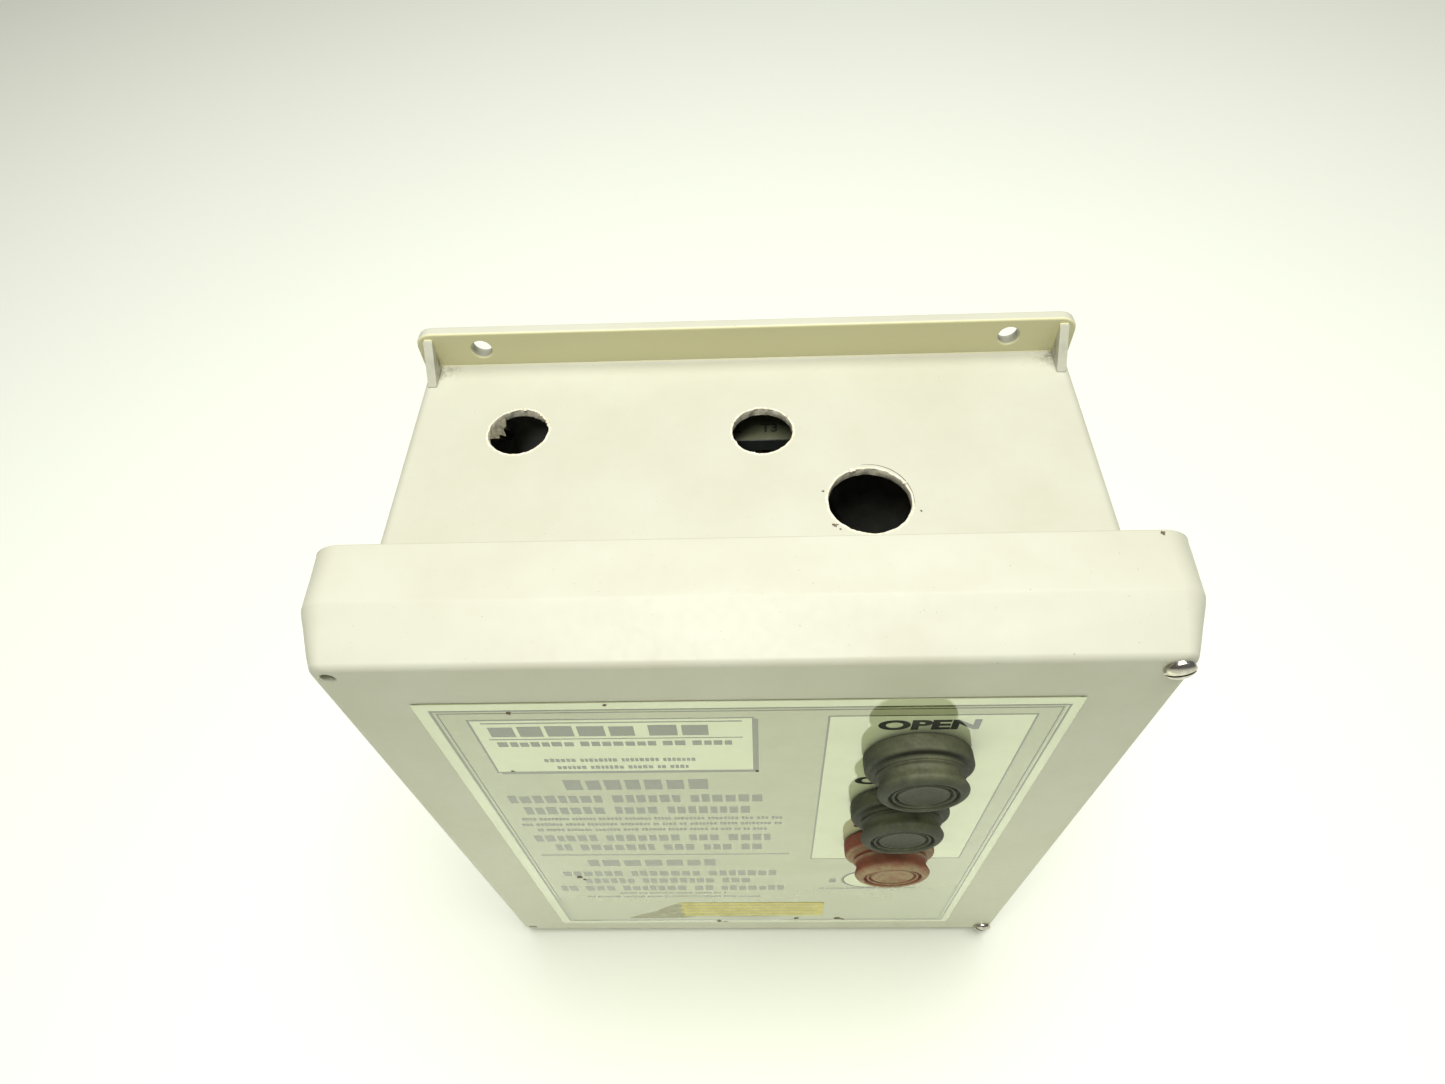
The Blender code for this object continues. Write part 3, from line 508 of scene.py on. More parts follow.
def rubber(name, base, dust, front, top):
    """Moulded synthetic rubber: a soft dull skin, with pale dust: so much on its face, so much on top."""
    made, tree, skin, place, tone, _ = moulded(
        name, base, darker(base, 0.72), 0.0060, 0.0007, 0.00010, 0.66, 0.10, ior=1.42
    )
    normal = add(tree, "NewGeometry", out="Normal")
    parts = add(tree, "SeparateXYZ", {"Vector": normal}).node.outputs
    ramp = {"Value": parts["Y"], "From Min": -0.15, "From Max": -0.95, "To Max": front}
    forward = add(tree, "MapRange", ramp)
    upward = add(tree, "MapRange", {"Value": parts["Z"], "From Min": 0.2, "From Max": 0.95, "To Max": top})
    smudge = add(tree, "TexNoise", {"Vector": place, "Scale": 260.0, "Detail": 6.0, "Roughness": 0.7})
    broken = add(tree, "MapRange", {"Value": smudge, "From Min": 0.15, "From Max": 0.75})
    dusty = add(tree, "Math", {0: forward, 1: upward}, operation="ADD")
    share = add(tree, "Math", {0: dusty, 1: broken}, operation="MULTIPLY")
    tone = add(tree, "Mix", {0: share, 6: tone, 7: dust}, 2, data_type="RGBA")
    tree.links.new(tone, skin["Base Color"])
    return made


def plated(name, base, shade, roughness):
    """Electroplated metal: bright, with cloudy tarnish and fine scratches along one direction."""
    made, tree, _, place, _, under = moulded(
        name, base, shade, 0.0040, 0.0006, 0.00002, roughness, 0.05, metallic=1.0
    )
    drawn_out = add(tree, "Mapping", {"Vector": place, "Scale": (1.0, 1.0, 18.0)})
    scratch = add(tree, "TexNoise", {"Vector": drawn_out, "Scale": 500.0, "Detail": 2.0})
    tree.links.new(add(tree, "Bump", {"Height": scratch, "Strength": 0.25, "Distance": 0.00004}), under)
    return made


def banded(name, base, shade, pitch, axis, roughness, relief, metallic=0.0):
    """Wound or stacked layers: bands one pitch apart along an axis, each a ridge with a dark joint.

    The height is the sine of the place along the axis, once each pitch."""
    made, tree, skin, place, tone, under = moulded(
        name, base, shade, 0.008, 0.0009, 0.00005, roughness, 0.08, metallic=metallic
    )
    along = add(tree, "SeparateXYZ", {"Vector": place}, axis)
    turns = add(tree, "Math", {0: along, 1: 2 * math.pi / pitch}, operation="MULTIPLY")
    height = add(tree, "Math", {0: turns}, operation="SINE")
    tree.links.new(add(tree, "Bump", {"Height": height, "Strength": 0.8, "Distance": relief}), under)
    ramp = {"Value": height, "From Min": -1.0, "From Max": -0.55, "To Min": 0.75, "To Max": 0.0}
    joint = add(tree, "MapRange", ramp)
    tone = add(tree, "Mix", {0: joint, 6: tone, 7: darker(shade, 0.25)}, 2, data_type="RGBA")
    tree.links.new(tone, skin["Base Color"])
    return made


def clear_glass(name):
    """Soda glass tube of a cartridge fuse: clear, with a faint green body colour and a smooth skin."""
    made, tree, skin, place = begin(name, 0.05)
    skin["Transmission Weight"].default_value = 1.0
    haze = add(tree, "TexNoise", {"Vector": place, "Scale": 400.0, "Detail": 2.0})
    gloss = add(tree, "MapRange", {"Value": haze, "To Min": 0.02, "To Max": 0.12})
    tree.links.new(gloss, skin["Roughness"])
    values = {0: haze, 6: linear("#F4FAF5"), 7: linear("#E6F0E8")}
    tree.links.new(add(tree, "Mix", values, 2, data_type="RGBA"), skin["Base Color"])
    return made


def film(name, base, shade, patch=0.030):
    """Screen-printed vinyl under a clear laminate: an even ink, a hard gloss and a slight orange peel."""
    made, _, skin, *_ = moulded(
        name, base, shade, patch, 0.0060, 0.00001, 0.07, 0.03, ior=1.55, strength=0.2
    )
    skin["Coat Weight"].default_value = 1.0
    skin["Coat Roughness"].default_value = 0.03
    return made


FINISHES = {}


def make_finishes(colours):
    """Every finish once, kept by name. A moulded one's numbers are its patch, grain and relief in
    metres, its roughness and how far that spreads."""
    FINISHES["almond"] = almond_polyester(colours.shell, colours.shell_shade, linear("#5E5740"))
    FINISHES["glass"] = clear_glass("drawn_glass_clear")
    FINISHES["label"] = film("printed_vinyl_grey", colours.label, colours.label_shade)
    for key, base, dust, front, top in (
        ("black", colours.black_boot, "#83855F", 0.07, 0.46),
        ("red", colours.red_boot, "#A0A278", 0.66, 0.20),
    ):
        FINISHES[key + "_rubber"] = rubber("moulded_rubber_" + key, base, linear(dust), front, top)
    for maker, more, rows in (
        (moulded, {}, (
            # A drilled edge of the same polyester: chalky, pale and rough.
            ("torn", "drilled_polyester_edge", "#E2DEC8", "#BDB69B", 0.0016, 0.0005, 0.0003, 0.75, 0.1),
            # The same torn skin, painted darker as shade: the flake it dresses hangs in the hole's shadow.
            ("dirty_edge", "torn_polyester_dirty", "#77735C", "#454232", 0.0014, 0.0005, 0.0002, 0.7, 0.1),
            # Caked workshop dirt: matt, brown and gritty.
            ("dirt", "caked_dirt_brown", "#4A4030", "#6B5C41", 0.0010, 0.0004, 0.0001, 0.8, 0.1),
            # Paper tape gone yellow: matt, fibrous and blotched.
            ("tape", "paper_tape_yellowed", "#C6BF7E", "#B5AA66", 0.006, 0.0006, 0.00005, 0.6, 0.1),
            # Glue left by torn tape: grey, dull and patchy.
            ("stain", "adhesive_residue_grey", "#8E8C77", "#A8A58C", 0.003, 0.0005, 0.00005, 0.55, 0.1),
            # Glass-filled moulding of the motor strip: grey olive, dull, on its top; its front takes the
            # dark phenolic finish as painted shade.
            ("olive", "glass_filled_moulding_olive", "#8A8D70", "#787B5F", 0.006, 0.0008, 0.00005, 0.5, 0.1),
            # Pad-printed marks: thin, flat and matt.
            ("dark_mark", "pad_printed_ink_dark", "#45463A", "#505144", 0.003, 0.0004, 0.00002, 0.6, 0.1),
            ("mark", "pad_printed_ink_pale", "#D9DAD0", "#C5C6BB", 0.003, 0.0004, 0.00002, 0.6, 0.1),
        )),
        # Hot-dipped sheet with a dull passivated skin.
        (moulded, {"metallic": 0.15}, (
            ("plate", "galvanized_sheet_dull", "#C4C5BC", "#ADAEA5", 0.010, 0.0010, 0.00003, 0.5, 0.1),
        )),
        # Phenolic moulding: nearly black green-grey, with a dull skin and dust.
        (moulded, {"ior": 1.6}, (
            ("bakelite", "phenolic_moulding_dark", "#2E3230", "#3C4138", 0.012, 0.0009, 0.00006, 0.42, 0.1),
        )),
        # Moulded nylon: waxy, even, a soft shine.
        (moulded, {"ior": 1.53}, (
            ("grey_nylon", "nylon_grey", "#8C8E8A", "#7B7D79", 0.010, 0.0008, 0.00004, 0.45, 0.08),
            ("white_nylon", "nylon_natural", "#E6E2D2", "#D8D2BC", 0.012, 0.0009, 0.00004, 0.42, 0.08),
            ("red_nylon", "nylon_red", "#B3231C", "#8F1A15", 0.006, 0.0008, 0.00004, 0.38, 0.08),
        )),
        # Extruded wire covering: smooth, with a soft long highlight.
        (moulded, {"ior": 1.54}, (
            ("black_pvc", "extruded_pvc_black", "#17181A", "#232426", 0.010, 0.0008, 0.00004, 0.38, 0.07),
            ("red_pvc", "extruded_pvc_red", "#A81D18", "#8B1612", 0.010, 0.0008, 0.00004, 0.38, 0.07),
        )),
        # Screen inks under the label's laminate: as glossy as the label itself.
        (film, {}, (
            ("white_ink", "screen_ink_white", "#C2C9A3", "#BAC19A"),
            ("black_ink", "screen_ink_black", "#15171A", "#25272A", 0.004),
            ("grey_ink", "screen_ink_grey", "#3B4229", "#474E34", 0.004),
        )),
        # Plated and drawn metals: clear highlights broken by tarnish and scratches.
        (plated, {}, (
            ("zinc", "zinc_plated_steel", "#C9C9C4", "#9D9C93", 0.36),
            ("nickel", "nickel_plated_screw", "#D6D3CA", "#A59F90", 0.20),
            ("brass", "machined_brass", "#C9A862", "#A88745", 0.34),
            ("silver", "silver_contact", "#D9D9D6", "#AFAFAA", 0.36),
            ("spring", "drawn_spring_steel", "#A9A9A6", "#7E7D79", 0.34),
        )),
        # Varnished winding tape, one turn every 3 mm.
        (banded, {}, (
            ("tape_wound", "polyester_winding_tape", "#C79B34", "#9C7420", 0.0030, "X", 0.35, 0.00010),
        )),
        # Stamped core sheets are 0.5 mm; drawn 1 mm apart so that they show.
        (banded, {"metallic": 0.8}, (
            ("core", "stacked_core_steel", "#6E7074", "#4C4E52", 0.0010, "Y", 0.45, 0.00006),
        )),
    ):
        for key, name, base, shade, *numbers in rows:
            made = maker(name, linear(base), linear(shade), *numbers, **more)
            FINISHES[key] = made[0] if maker is moulded else made


# ---------------------------------------------------------------- settings


def colour_of(name, description, code):
    """A colour setting."""
    return bpy.props.FloatVectorProperty(
        name=name, description=description, subtype="COLOR", size=4, min=0.0, max=1.0, default=linear(code)
    )


def length_of(name, description, metres):
    """A length setting."""
    return bpy.props.FloatProperty(
        name=name, description=description, subtype="DISTANCE", unit="LENGTH", precision=5, default=metres
    )


class ControlBoxColours(bpy.types.PropertyGroup):
    """Colours of the finishes"""

    shell: colour_of("Shell", "Moulded box and cover", "#B8B8A6")
    shell_shade: colour_of("Shell shade", "Slow patches in the moulding", "#B3B29E")
    label: colour_of("Label", "Ground of the printed label", "#9A9F79")
    label_shade: colour_of("Label shade", "Patches where the label has aged", "#929670")
    black_boot: colour_of("Black boot", "Rubber of the open and close buttons", "#33362A")
    red_boot: colour_of("Red boot", "Rubber of the stop button", "#7E3C2C")
    floor: colour_of("Floor", "Plain floor under the box", "#EBEEDF")


class ControlBoxShell(bpy.types.PropertyGroup):
    """Sizes of the box and its cover"""

    wall: length_of("Box wall", "Thickness of the box walls", 0.0030)
    back: length_of("Back plate", "Thickness of the back plate and flanges", 0.0047)
    edge: length_of("Flange edge", "Rounding along the flange edges", 0.0009)
    ragged: length_of("Hole raggedness", "How far a drilled edge wanders", 0.00013)
    cover_wall: length_of("Cover wall", "Thickness of the cover", 0.0028)
    face_round: length_of("Face rounding", "Radius between the cover's face and its leaning sides", 0.0030)
    waviness: length_of("Waviness", "Height of the slow waves in the cover's sides", 0.00012)


class ControlBoxButton(bpy.types.PropertyGroup):
    """Sizes of the push buttons"""

    thread: length_of("Thread pitch", "Distance between the bushing's threads", 0.0012)
    spring_wire: length_of("Spring wire", "Radius of the return spring's wire", 0.00045)
    open_lean: length_of("Open boot lean", "How far its face sits to the right", 0.0011)
    close_lean: length_of("Close boot lean", "How far its face sits to the right", -0.0006)
    stop_lean: length_of("Stop boot lean", "How far its face sits to the right", 0.0009)
    spring_turns: bpy.props.FloatProperty(
        name="Spring turns", description="Turns of the return spring", min=2.0, default=3.25
    )


class ControlBoxStage(bpy.types.PropertyGroup):
    """Light and lens"""

    sky: bpy.props.FloatProperty(
        name="Sky", description="Strength of the even white light", min=0.0, default=0.17
    )
    lamp: bpy.props.FloatProperty(
        name="Overhead lamp", description="Power of the broad lamp above the box", min=0.0,
        unit="POWER", default=58.0,
    )
    fill: bpy.props.FloatProperty(
        name="Fill lamp", description="Power of the small lamp above the camera", min=0.0,
        unit="POWER", default=2.6,
    )
    bounce: bpy.props.FloatProperty(
        name="Low lamp", description="Power of the low lamp before the cover", min=0.0,
        unit="POWER", default=0.65,
    )
    lens: bpy.props.FloatProperty(
        name="Lens", description="Focal length of the camera", subtype="DISTANCE_CAMERA", min=1.0,
        default=22.256,
    )


# ---------------------------------------------------------------- box and cover


def ragged_circle(amount, radius, seed):
    """A circle whose radius wanders with the angle: a sum of sines with seeded phases, finer ones lower."""
    draw = np.random.default_rng(seed)
    waves = np.arange(2, 26)
    phase = draw.uniform(0, 2 * np.pi, len(waves))
    weight = draw.uniform(0.3, 1.0, len(waves)) / np.sqrt(waves)

    def swell(angle, height):
        wander = (weight * np.sin(waves * angle[..., None] + phase + 900.0 * height[..., None])).sum(axis=-1)
        return 1 + amount / radius * wander / 1.4

    return swell


def front_hole(x, z, radius, start, end, flare=0.0006):
    """A cutter for a hole along Y whose mouth is eased by the flare."""
    profile = [(radius + 2 * flare, flare), (radius + flare, 0), (radius, -flare), (radius, start - end)]
    return turned(profile, (x, depth(start), z), around=32)


def gusset(side, end):
    """A three-cornered rib between a flange and the wall beside it, thinner at its outer edge."""
    wall_z = BOX_HIGH if end > 0 else BOX_LOW
    edge_z = 0.32315 if end > 0 else 0.0022
    back = depth(FLANGE_FRONT)
    outline = [
        (back + 0.001, wall_z - end * 0.001),
        (back - 0.0115, wall_z - end * 0.001),
        (back - 0.0115, wall_z + end * 0.0004),
        (back - 0.0109, wall_z + end * 0.0011),
        (back - 0.0016, edge_z - end * 0.0008),
        (back - 0.0008, edge_z),
        (back + 0.001, edge_z),
    ]
    center_x = side * GUSSET_X
    across = np.array([-0.0017, -0.0013, 0.0013, 0.0017]) + center_x
    outline = np.array(outline)
    middle = outline.mean(axis=0)
    rings = np.empty((4, len(outline), 3))
    for ring, size in zip(rings, (0.95, 1.0, 1.0, 0.95)):
        ring[:, 1:] = middle + (outline - middle) * size
    rings[..., 0] = across[:, None]
    return loft(rings)


def cylinder(x, z, radius, start, end, around=32):
    """A straight cylinder along Y between two depths."""
    return turned([(radius, -start), (radius, -end)], (x, FRONT_Y, z), around=around)


def corners(across, rise):
    """Four (x, z) places, mirrored about the middle."""
    return [(x, CENTER_Z + z) for x in (-across, across) for z in (-rise, rise)]


def make_wall_box(shell):
    """The tub: back plate with its flanges, walls flared into it, front lip, bosses and ribs."""
    back, inside = depth(BACK), depth(BACK - shell.back)
    box = solid("wall_box", block((-0.1259, inside, 0.0), (0.1259, back, 0.32535), 0.0060, shell.edge))
    at = np.array([0.0150, 0.1370, 0.1380, 0.1388, FLANGE_FRONT, 0.1425])
    out = np.array([0.0, 0.0, 0.0001, 0.0004, 0.0009, 0.0009])
    flat = rounded_outline(BOX_HALF + out, 0.14675 + out, 0.0040 + out, 8, 2)
    rings = np.empty((*flat.shape[:2], 3))
    rings[..., 0], rings[..., 1], rings[..., 2] = flat[..., 0], depth(at)[:, None], CENTER_Z + flat[..., 1]
    lip = block(
        (-0.13240, depth(0.0140), CENTER_Z - 0.15555), (0.13240, depth(0.0170), CENTER_Z + 0.15555), 0.0060,
        0.0006,
    )
    bosses = [cylinder(x, z, 0.0060, 0.0150, 0.0300) for x, z in corners(SCREW_X, SCREW_Z)]
    ribs = [gusset(side, end) for side in (-1, 1) for end in (-1, 1)]
    combine(box, "UNION", loft(rings), lip, *bosses, *ribs)
    wall = shell.wall
    low = (-BOX_HALF + wall, depth(0.0), BOX_LOW + wall)
    cavity = block(low, (BOX_HALF - wall, inside, BOX_HIGH - wall), 0.0020, 0.0002)
    combine(box, "DIFFERENCE", cavity)
    feet = corners(FOOT_X, FOOT_Z)
    combine(box, "UNION", *[cylinder(x, z, 0.0060, 0.1333, 0.1403) for x, z in feet])
    holes = [front_hole(x, z, SCREW_BORE, 0.0140, 0.0280) for x, z in corners(SCREW_X, SCREW_Z)]
    holes += [cylinder(x, z, SCREW_BORE, 0.1310, 0.1420, 20) for x, z in feet]
    mounts = [(x, z) for x in (-MOUNT_X, MOUNT_X) for z in (BOX_HIGH + MOUNT_OFF, BOX_LOW - MOUNT_OFF)]
    holes += [front_hole(x, z, 0.0040, FLANGE_FRONT, 0.1460, 0.0004) for x, z in mounts]
    combine(box, "DIFFERENCE", together(*holes))
    cutters = []
    for seed, (x, at_depth, radius) in enumerate(CONDUIT_HOLES):
        heights = np.linspace(BOX_HIGH - 0.006, BOX_HIGH + 0.002, 9)
        profile = np.stack([np.full(9, radius), heights], axis=-1)
        swell = ragged_circle(shell.ragged, radius, seed)
        cutters.append(turned(profile, (x, depth(at_depth), 0), 2, 96, swell))
    combine(box, "DIFFERENCE", together(*cutters))
    dress(box, "enclosure", "almond_polyester", "almond", stands_for="box_shell")


def make_hole_edges(shell):
    """Chalky crumbs left round each drilled hole: a thin ring, its height and width ragged."""
    for seed, (x, at_depth, radius) in enumerate(CONDUIT_HOLES):
        swell = ragged_circle(shell.ragged * 1.5, radius, seed)
        profile = [
            (radius + 0.00002, BOX_HIGH - 0.0029),
            (radius - 0.00016, BOX_HIGH - 0.0016),
            (radius - 0.00006, BOX_HIGH - 0.0003),
            (radius + 0.00012, BOX_HIGH + 0.00016),
            (radius + 0.00050, BOX_HIGH + 0.00012),
            (radius + 0.00085, BOX_HIGH - 0.00004),
            (radius + 0.00060, BOX_HIGH - 0.0010),
        ]
        rough = ring_of(profile, (x, depth(at_depth), 0), 2, 180, swell)
        draw = np.random.default_rng(seed + 7)
        points = rough[0]
        points += draw.normal(0.0, 0.00005, points.shape)
        shapes = [rough]
        for angle in draw.uniform(0.2, 2.9, 9):
            size = draw.uniform(0.0003, 0.0008)
            away = radius + 0.0003
            place = (x + away * math.cos(angle), depth(at_depth) + away * math.sin(angle), BOX_HIGH)
            crumb = [(size * r, size * h) for r, h in CRUMB]
            shapes.append(turned(crumb, place, 2, 9, ragged_circle(0.3 * size, size, int(angle * 1000))))
        lay(f"conduit_hole_edge_{seed + 1}", shapes, "enclosure", "almond_polyester", "torn", 60)


def make_torn_flake():
    """A curl of skin left hanging at the first hole: an arc of the rim swept down and inwards, its
    width a half sine along the arc, thickened by its own second face."""
    x, at_depth, radius = CONDUIT_HOLES[0]
    along, down = np.meshgrid(np.linspace(0, 1, 16), np.linspace(0, 1, 8), indexing="ij")
    angle = np.radians(128 + 62 * along)
    reach = down * (0.0011 + 0.0030 * np.sin(np.pi * along) ** 0.7 * (1 + 0.25 * np.sin(17 * along)))
    skins = []
    for lift in (0.0, -0.0003):
        away = radius + 0.0004 - reach
        height = BOX_HIGH - 0.0008 - 0.55 * reach - 60.0 * reach**2 + lift
        skins.append(
            np.stack([x + away * np.cos(angle), depth(at_depth) + away * np.sin(angle), height], axis=-1)
        )
    loops = np.concatenate([skins[0], skins[1][:, ::-1]], axis=1)
    flake = solid("torn_flake", loft(loops), 50)
    # Painted shade: the flake takes the darker copy of the torn-edge finish, for the shadow it hangs in.
    dress(flake, "enclosure", "almond_polyester", "dirty_edge")


def make_dirt():
    """Caked specks: flat ragged discs, each a circle whose radius wanders, on the label, on the top
    wall by the largest hole and on the cover's rim, and a scribed arc round that hole."""
    front, top = [], []
    for k, (x, z, size) in enumerate((
        (
            -76.8, 286.6, 1.5
        ), (-45.1, 291.6, 1.1), (-83.5, 109.2, 2.6), (-81.6, 105.4, 1.3), (44.6, 31.3, 2.8),
        (47.6, 29.4, 1.4), (22.3, 31.7, 2.2), (-19.9, 26.4, 2.4), (-16.4, 25.2, 1.2), (-86.1, 239.4, 0.9),
    )):
        place = (x * MM, depth(LABEL_FRONT) - 0.00012, z * MM + LABEL_RISE)
        swell = ragged_circle(0.55 * size * MM, size * MM, 40 + k)
        disc = [(size * 0.5 * MM, 0.00006), (size * 0.5 * MM, -0.00008)]
        front.append(turned(disc, place, around=28, swell=swell))
    for k, (x, at, size) in enumerate(
        ((30.2, 56.6, 1.5), (27.1, 71.5, 0.8), (31.9, 54.9, 0.7), (59.6, 62.0, 0.7))
    ):
        place = (x * MM, depth(at * MM), BOX_HIGH)
        swell = ragged_circle(0.5 * size * MM, size * MM, 60 + k)
        disc = [(size * 0.5 * MM, -0.00005), (size * 0.5 * MM, 0.00008)]
        top.append(turned(disc, place, 2, 28, swell))
    x, at_depth, radius = CONDUIT_HOLES[2]
    angle = np.radians(np.linspace(-12, 96, 60))
    away = radius + 0.0014 - 0.0006 * np.cos(2.2 * angle)
    height = np.full(60, BOX_HIGH + 0.00002)
    arc = np.stack([x + away * np.cos(angle), depth(at_depth) + away * np.sin(angle), height], axis=-1)
    top.append(sweep(arc, 0.00010 * (0.35 + np.sin(np.linspace(0.1, 3.0, 60))), 6))
    lay("label_dirt", front, "cover", "printed_label", "dirt", 20)
    lay("top_wall_dirt", top, "enclosure", "almond_polyester", "dirt", 20)
    swell = ragged_circle(0.0006, 0.001, 80)
    chip = turned([(0.0006, -0.0002), (0.0006, 0.00012)], (0.1280, depth(0.0392), 0.32455), 2, 24, swell)
    lay("cover_rim_chip", [chip], "cover", "almond_polyester", "dirt", 20)


def cover_profile(shell):
    """(depth, inset, corner radius, inward normal across and back) from the middle of the face to the
    rim: straight over the face, an arc of the face rounding, straight to the bend, straight to the rim."""
    lean = math.atan2(BEND_INSET, BEND_DEPTH)
    turn = math.pi / 2 - lean
    center = BEND_INSET + shell.face_round * (1 - math.sin(lean)) / math.cos(lean)
    rows = [(0.0, inset, 0.0045, 0.0, 1.0) for inset in (0.1300, 0.1180, 0.0950, 0.0700, 0.0450, 0.0250)]
    for angle in np.linspace(0, turn, 9):
        row_depth = shell.face_round * (1 - math.cos(angle))
        inset = center - shell.face_round * math.sin(angle)
        rows.append((row_depth, inset, 0.0045, math.sin(angle), math.cos(angle)))
    for share in (0.15, 0.3, 0.45, 0.6, 0.75, 0.9):
        row_depth = 0.0025 + share * 0.0170
        corner = 0.0045 + 0.0045 * share
        inset = BEND_INSET * (1 - row_depth / BEND_DEPTH)
        rows.append((row_depth, inset, corner, math.cos(lean), math.sin(lean)))
    for row_depth, inset, share in ((0.0190, 0.00024, 0.8), (BEND_DEPTH, 0.00008, 0.5), (0.0201, 0.0, 0.2)):
        rows.append((row_depth, inset, 0.0090, math.cos(lean * share), math.sin(lean * share)))
    for share in (0.15, 0.3, 0.45, 0.6, 0.75, 0.9, 0.97):
        row_depth = BEND_DEPTH + share * 0.0214
        rows.append((row_depth, -0.00095 * share, 0.0090 + 0.0015 * share, 1.0, 0.0))
    return np.array(rows)


def make_cover_pan(shell):
    """The cover: rounded rectangles carried down its profile, out on the skin and back up inside."""
    rows = cover_profile(shell)
    wall = shell.cover_wall
    at, inset, corner = rows[:, 0], rows[:, 1], rows[:, 2]
    rim_at = np.array([0.0404, 0.0408, 0.0409, 0.0408, 0.0404])
    rim_inset = np.array([-0.0009, -0.0006, 0.0014 - 0.00095, wall - 0.0013, wall - 0.0010])
    inner_at, inner_inset = at + wall * rows[:, 4], inset + wall * rows[:, 3]
    all_at = np.concatenate([at, rim_at, inner_at[::-1]])
    all_inset = np.concatenate([inset, rim_inset, inner_inset[::-1]])
    all_corner = np.concatenate([corner, np.full(5, 0.0100), np.maximum(corner[::-1] - wall, 0.0012)])
    half_width, half_height = COVER_HALF_X - all_inset, COVER_HALF_Z - all_inset
    all_corner = np.minimum(all_corner, half_width * 0.9)
    flat = rounded_outline(half_width, half_height, all_corner, 10, 40)
    x, z = flat[..., 0], flat[..., 1]
    y = np.broadcast_to(all_at[:, None], x.shape)
    side = np.clip((y - 0.0020) / 0.004, 0, 1) * np.clip((0.0400 - y) / 0.004, 0, 1)
    wave = np.sin(95 * x + 210 * y + 1.1) + np.sin(-61 * x + 150 * z + 330 * y)
    wave += 0.7 * np.sin(170 * z + 90 * y + 0.4)
    push = shell.waviness * side * wave / 2
    upright = np.abs(z) / COVER_HALF_Z > np.abs(x) / COVER_HALF_X
    x = x + np.where(upright, 0, np.sign(x) * push)
    z = CENTER_Z + z + np.where(upright, np.sign(z) * push, 0)
    rings = np.stack([x, depth(y), z], axis=-1)
    cover = solid("cover_pan", loft(rings), 40)
    posts = [cylinder(x, z, 0.0045, 0.0018, 0.0137) for x, z in corners(SCREW_X, SCREW_Z)]
    combine(cover, "UNION", *posts)
    holes = [front_hole(x, z, SCREW_BORE, 0.0, 0.0150, 0.0005) for x, z in corners(SCREW_X, SCREW_Z)]
    holes += [cylinder(BUTTON_X, z, 0.0113, -0.0010, 0.0050, 64) for z in BUTTON_Z.values()]
    combine(cover, "DIFFERENCE", together(*holes))
    dress(cover, "cover", "almond_polyester", "almond", stands_for="cover_shell")


# ---------------------------------------------------------------- label


def bar(left, right, low, high, layer=1):
    """A printed bar between two places across and two heights, on its own thin layer."""
    front = depth(LABEL_FRONT) - layer * INK
    outline = np.array([(left, low), (right, low), (right, high), (left, high)]) * MM
    outline[:, 1] += LABEL_RISE
    return prism(outline, front, front + INK * 0.9)


def frame_of(left, right, low, high, line, layer=1):
    """Four bars round a rectangle."""
    return together(
        bar(left, right, high - line, high, layer),
        bar(left, right, low, low + line, layer),
        bar(left, left + line, low + line, high - line, layer),
        bar(right - line, right, low + line, high - line, layer),
    )


def dummy_line(draw, left, right, low, height, wide=0.52, weight=0.84, layer=1):
    """A line of plain blocks in groups, standing for a line of print that is left out."""
    x, shapes = left, []
    while x < right - height:
        for _ in range(int(draw.integers(2, 9))):
            width = height * wide * draw.uniform(0.78, 1.22)
            if x + width > right:
                break
            shapes.append(bar(x, x + width * weight, low, low + height * draw.uniform(0.86, 1.0), layer))
            x += width + 0.06 * height
        x += 0.40 * height
    return together(*shapes)


def make_label_sheet():
    """The label: a thin rounded sheet with three button holes."""
    low, high = (-0.1070, depth(-0.0004), 0.02455), (0.1048, depth(-0.0001), 0.29400)
    sheet = solid("label_sheet", block(low, high, 0.0030, 0.00005))
    holes = [cylinder(BUTTON_X, z, 0.0125, -0.0010, 0.0010, 96) for z in BUTTON_Z.values()]
    combine(sheet, "DIFFERENCE", together(*holes))
    dress(sheet, "cover", "printed_label", "label", stands_for="cover_label")


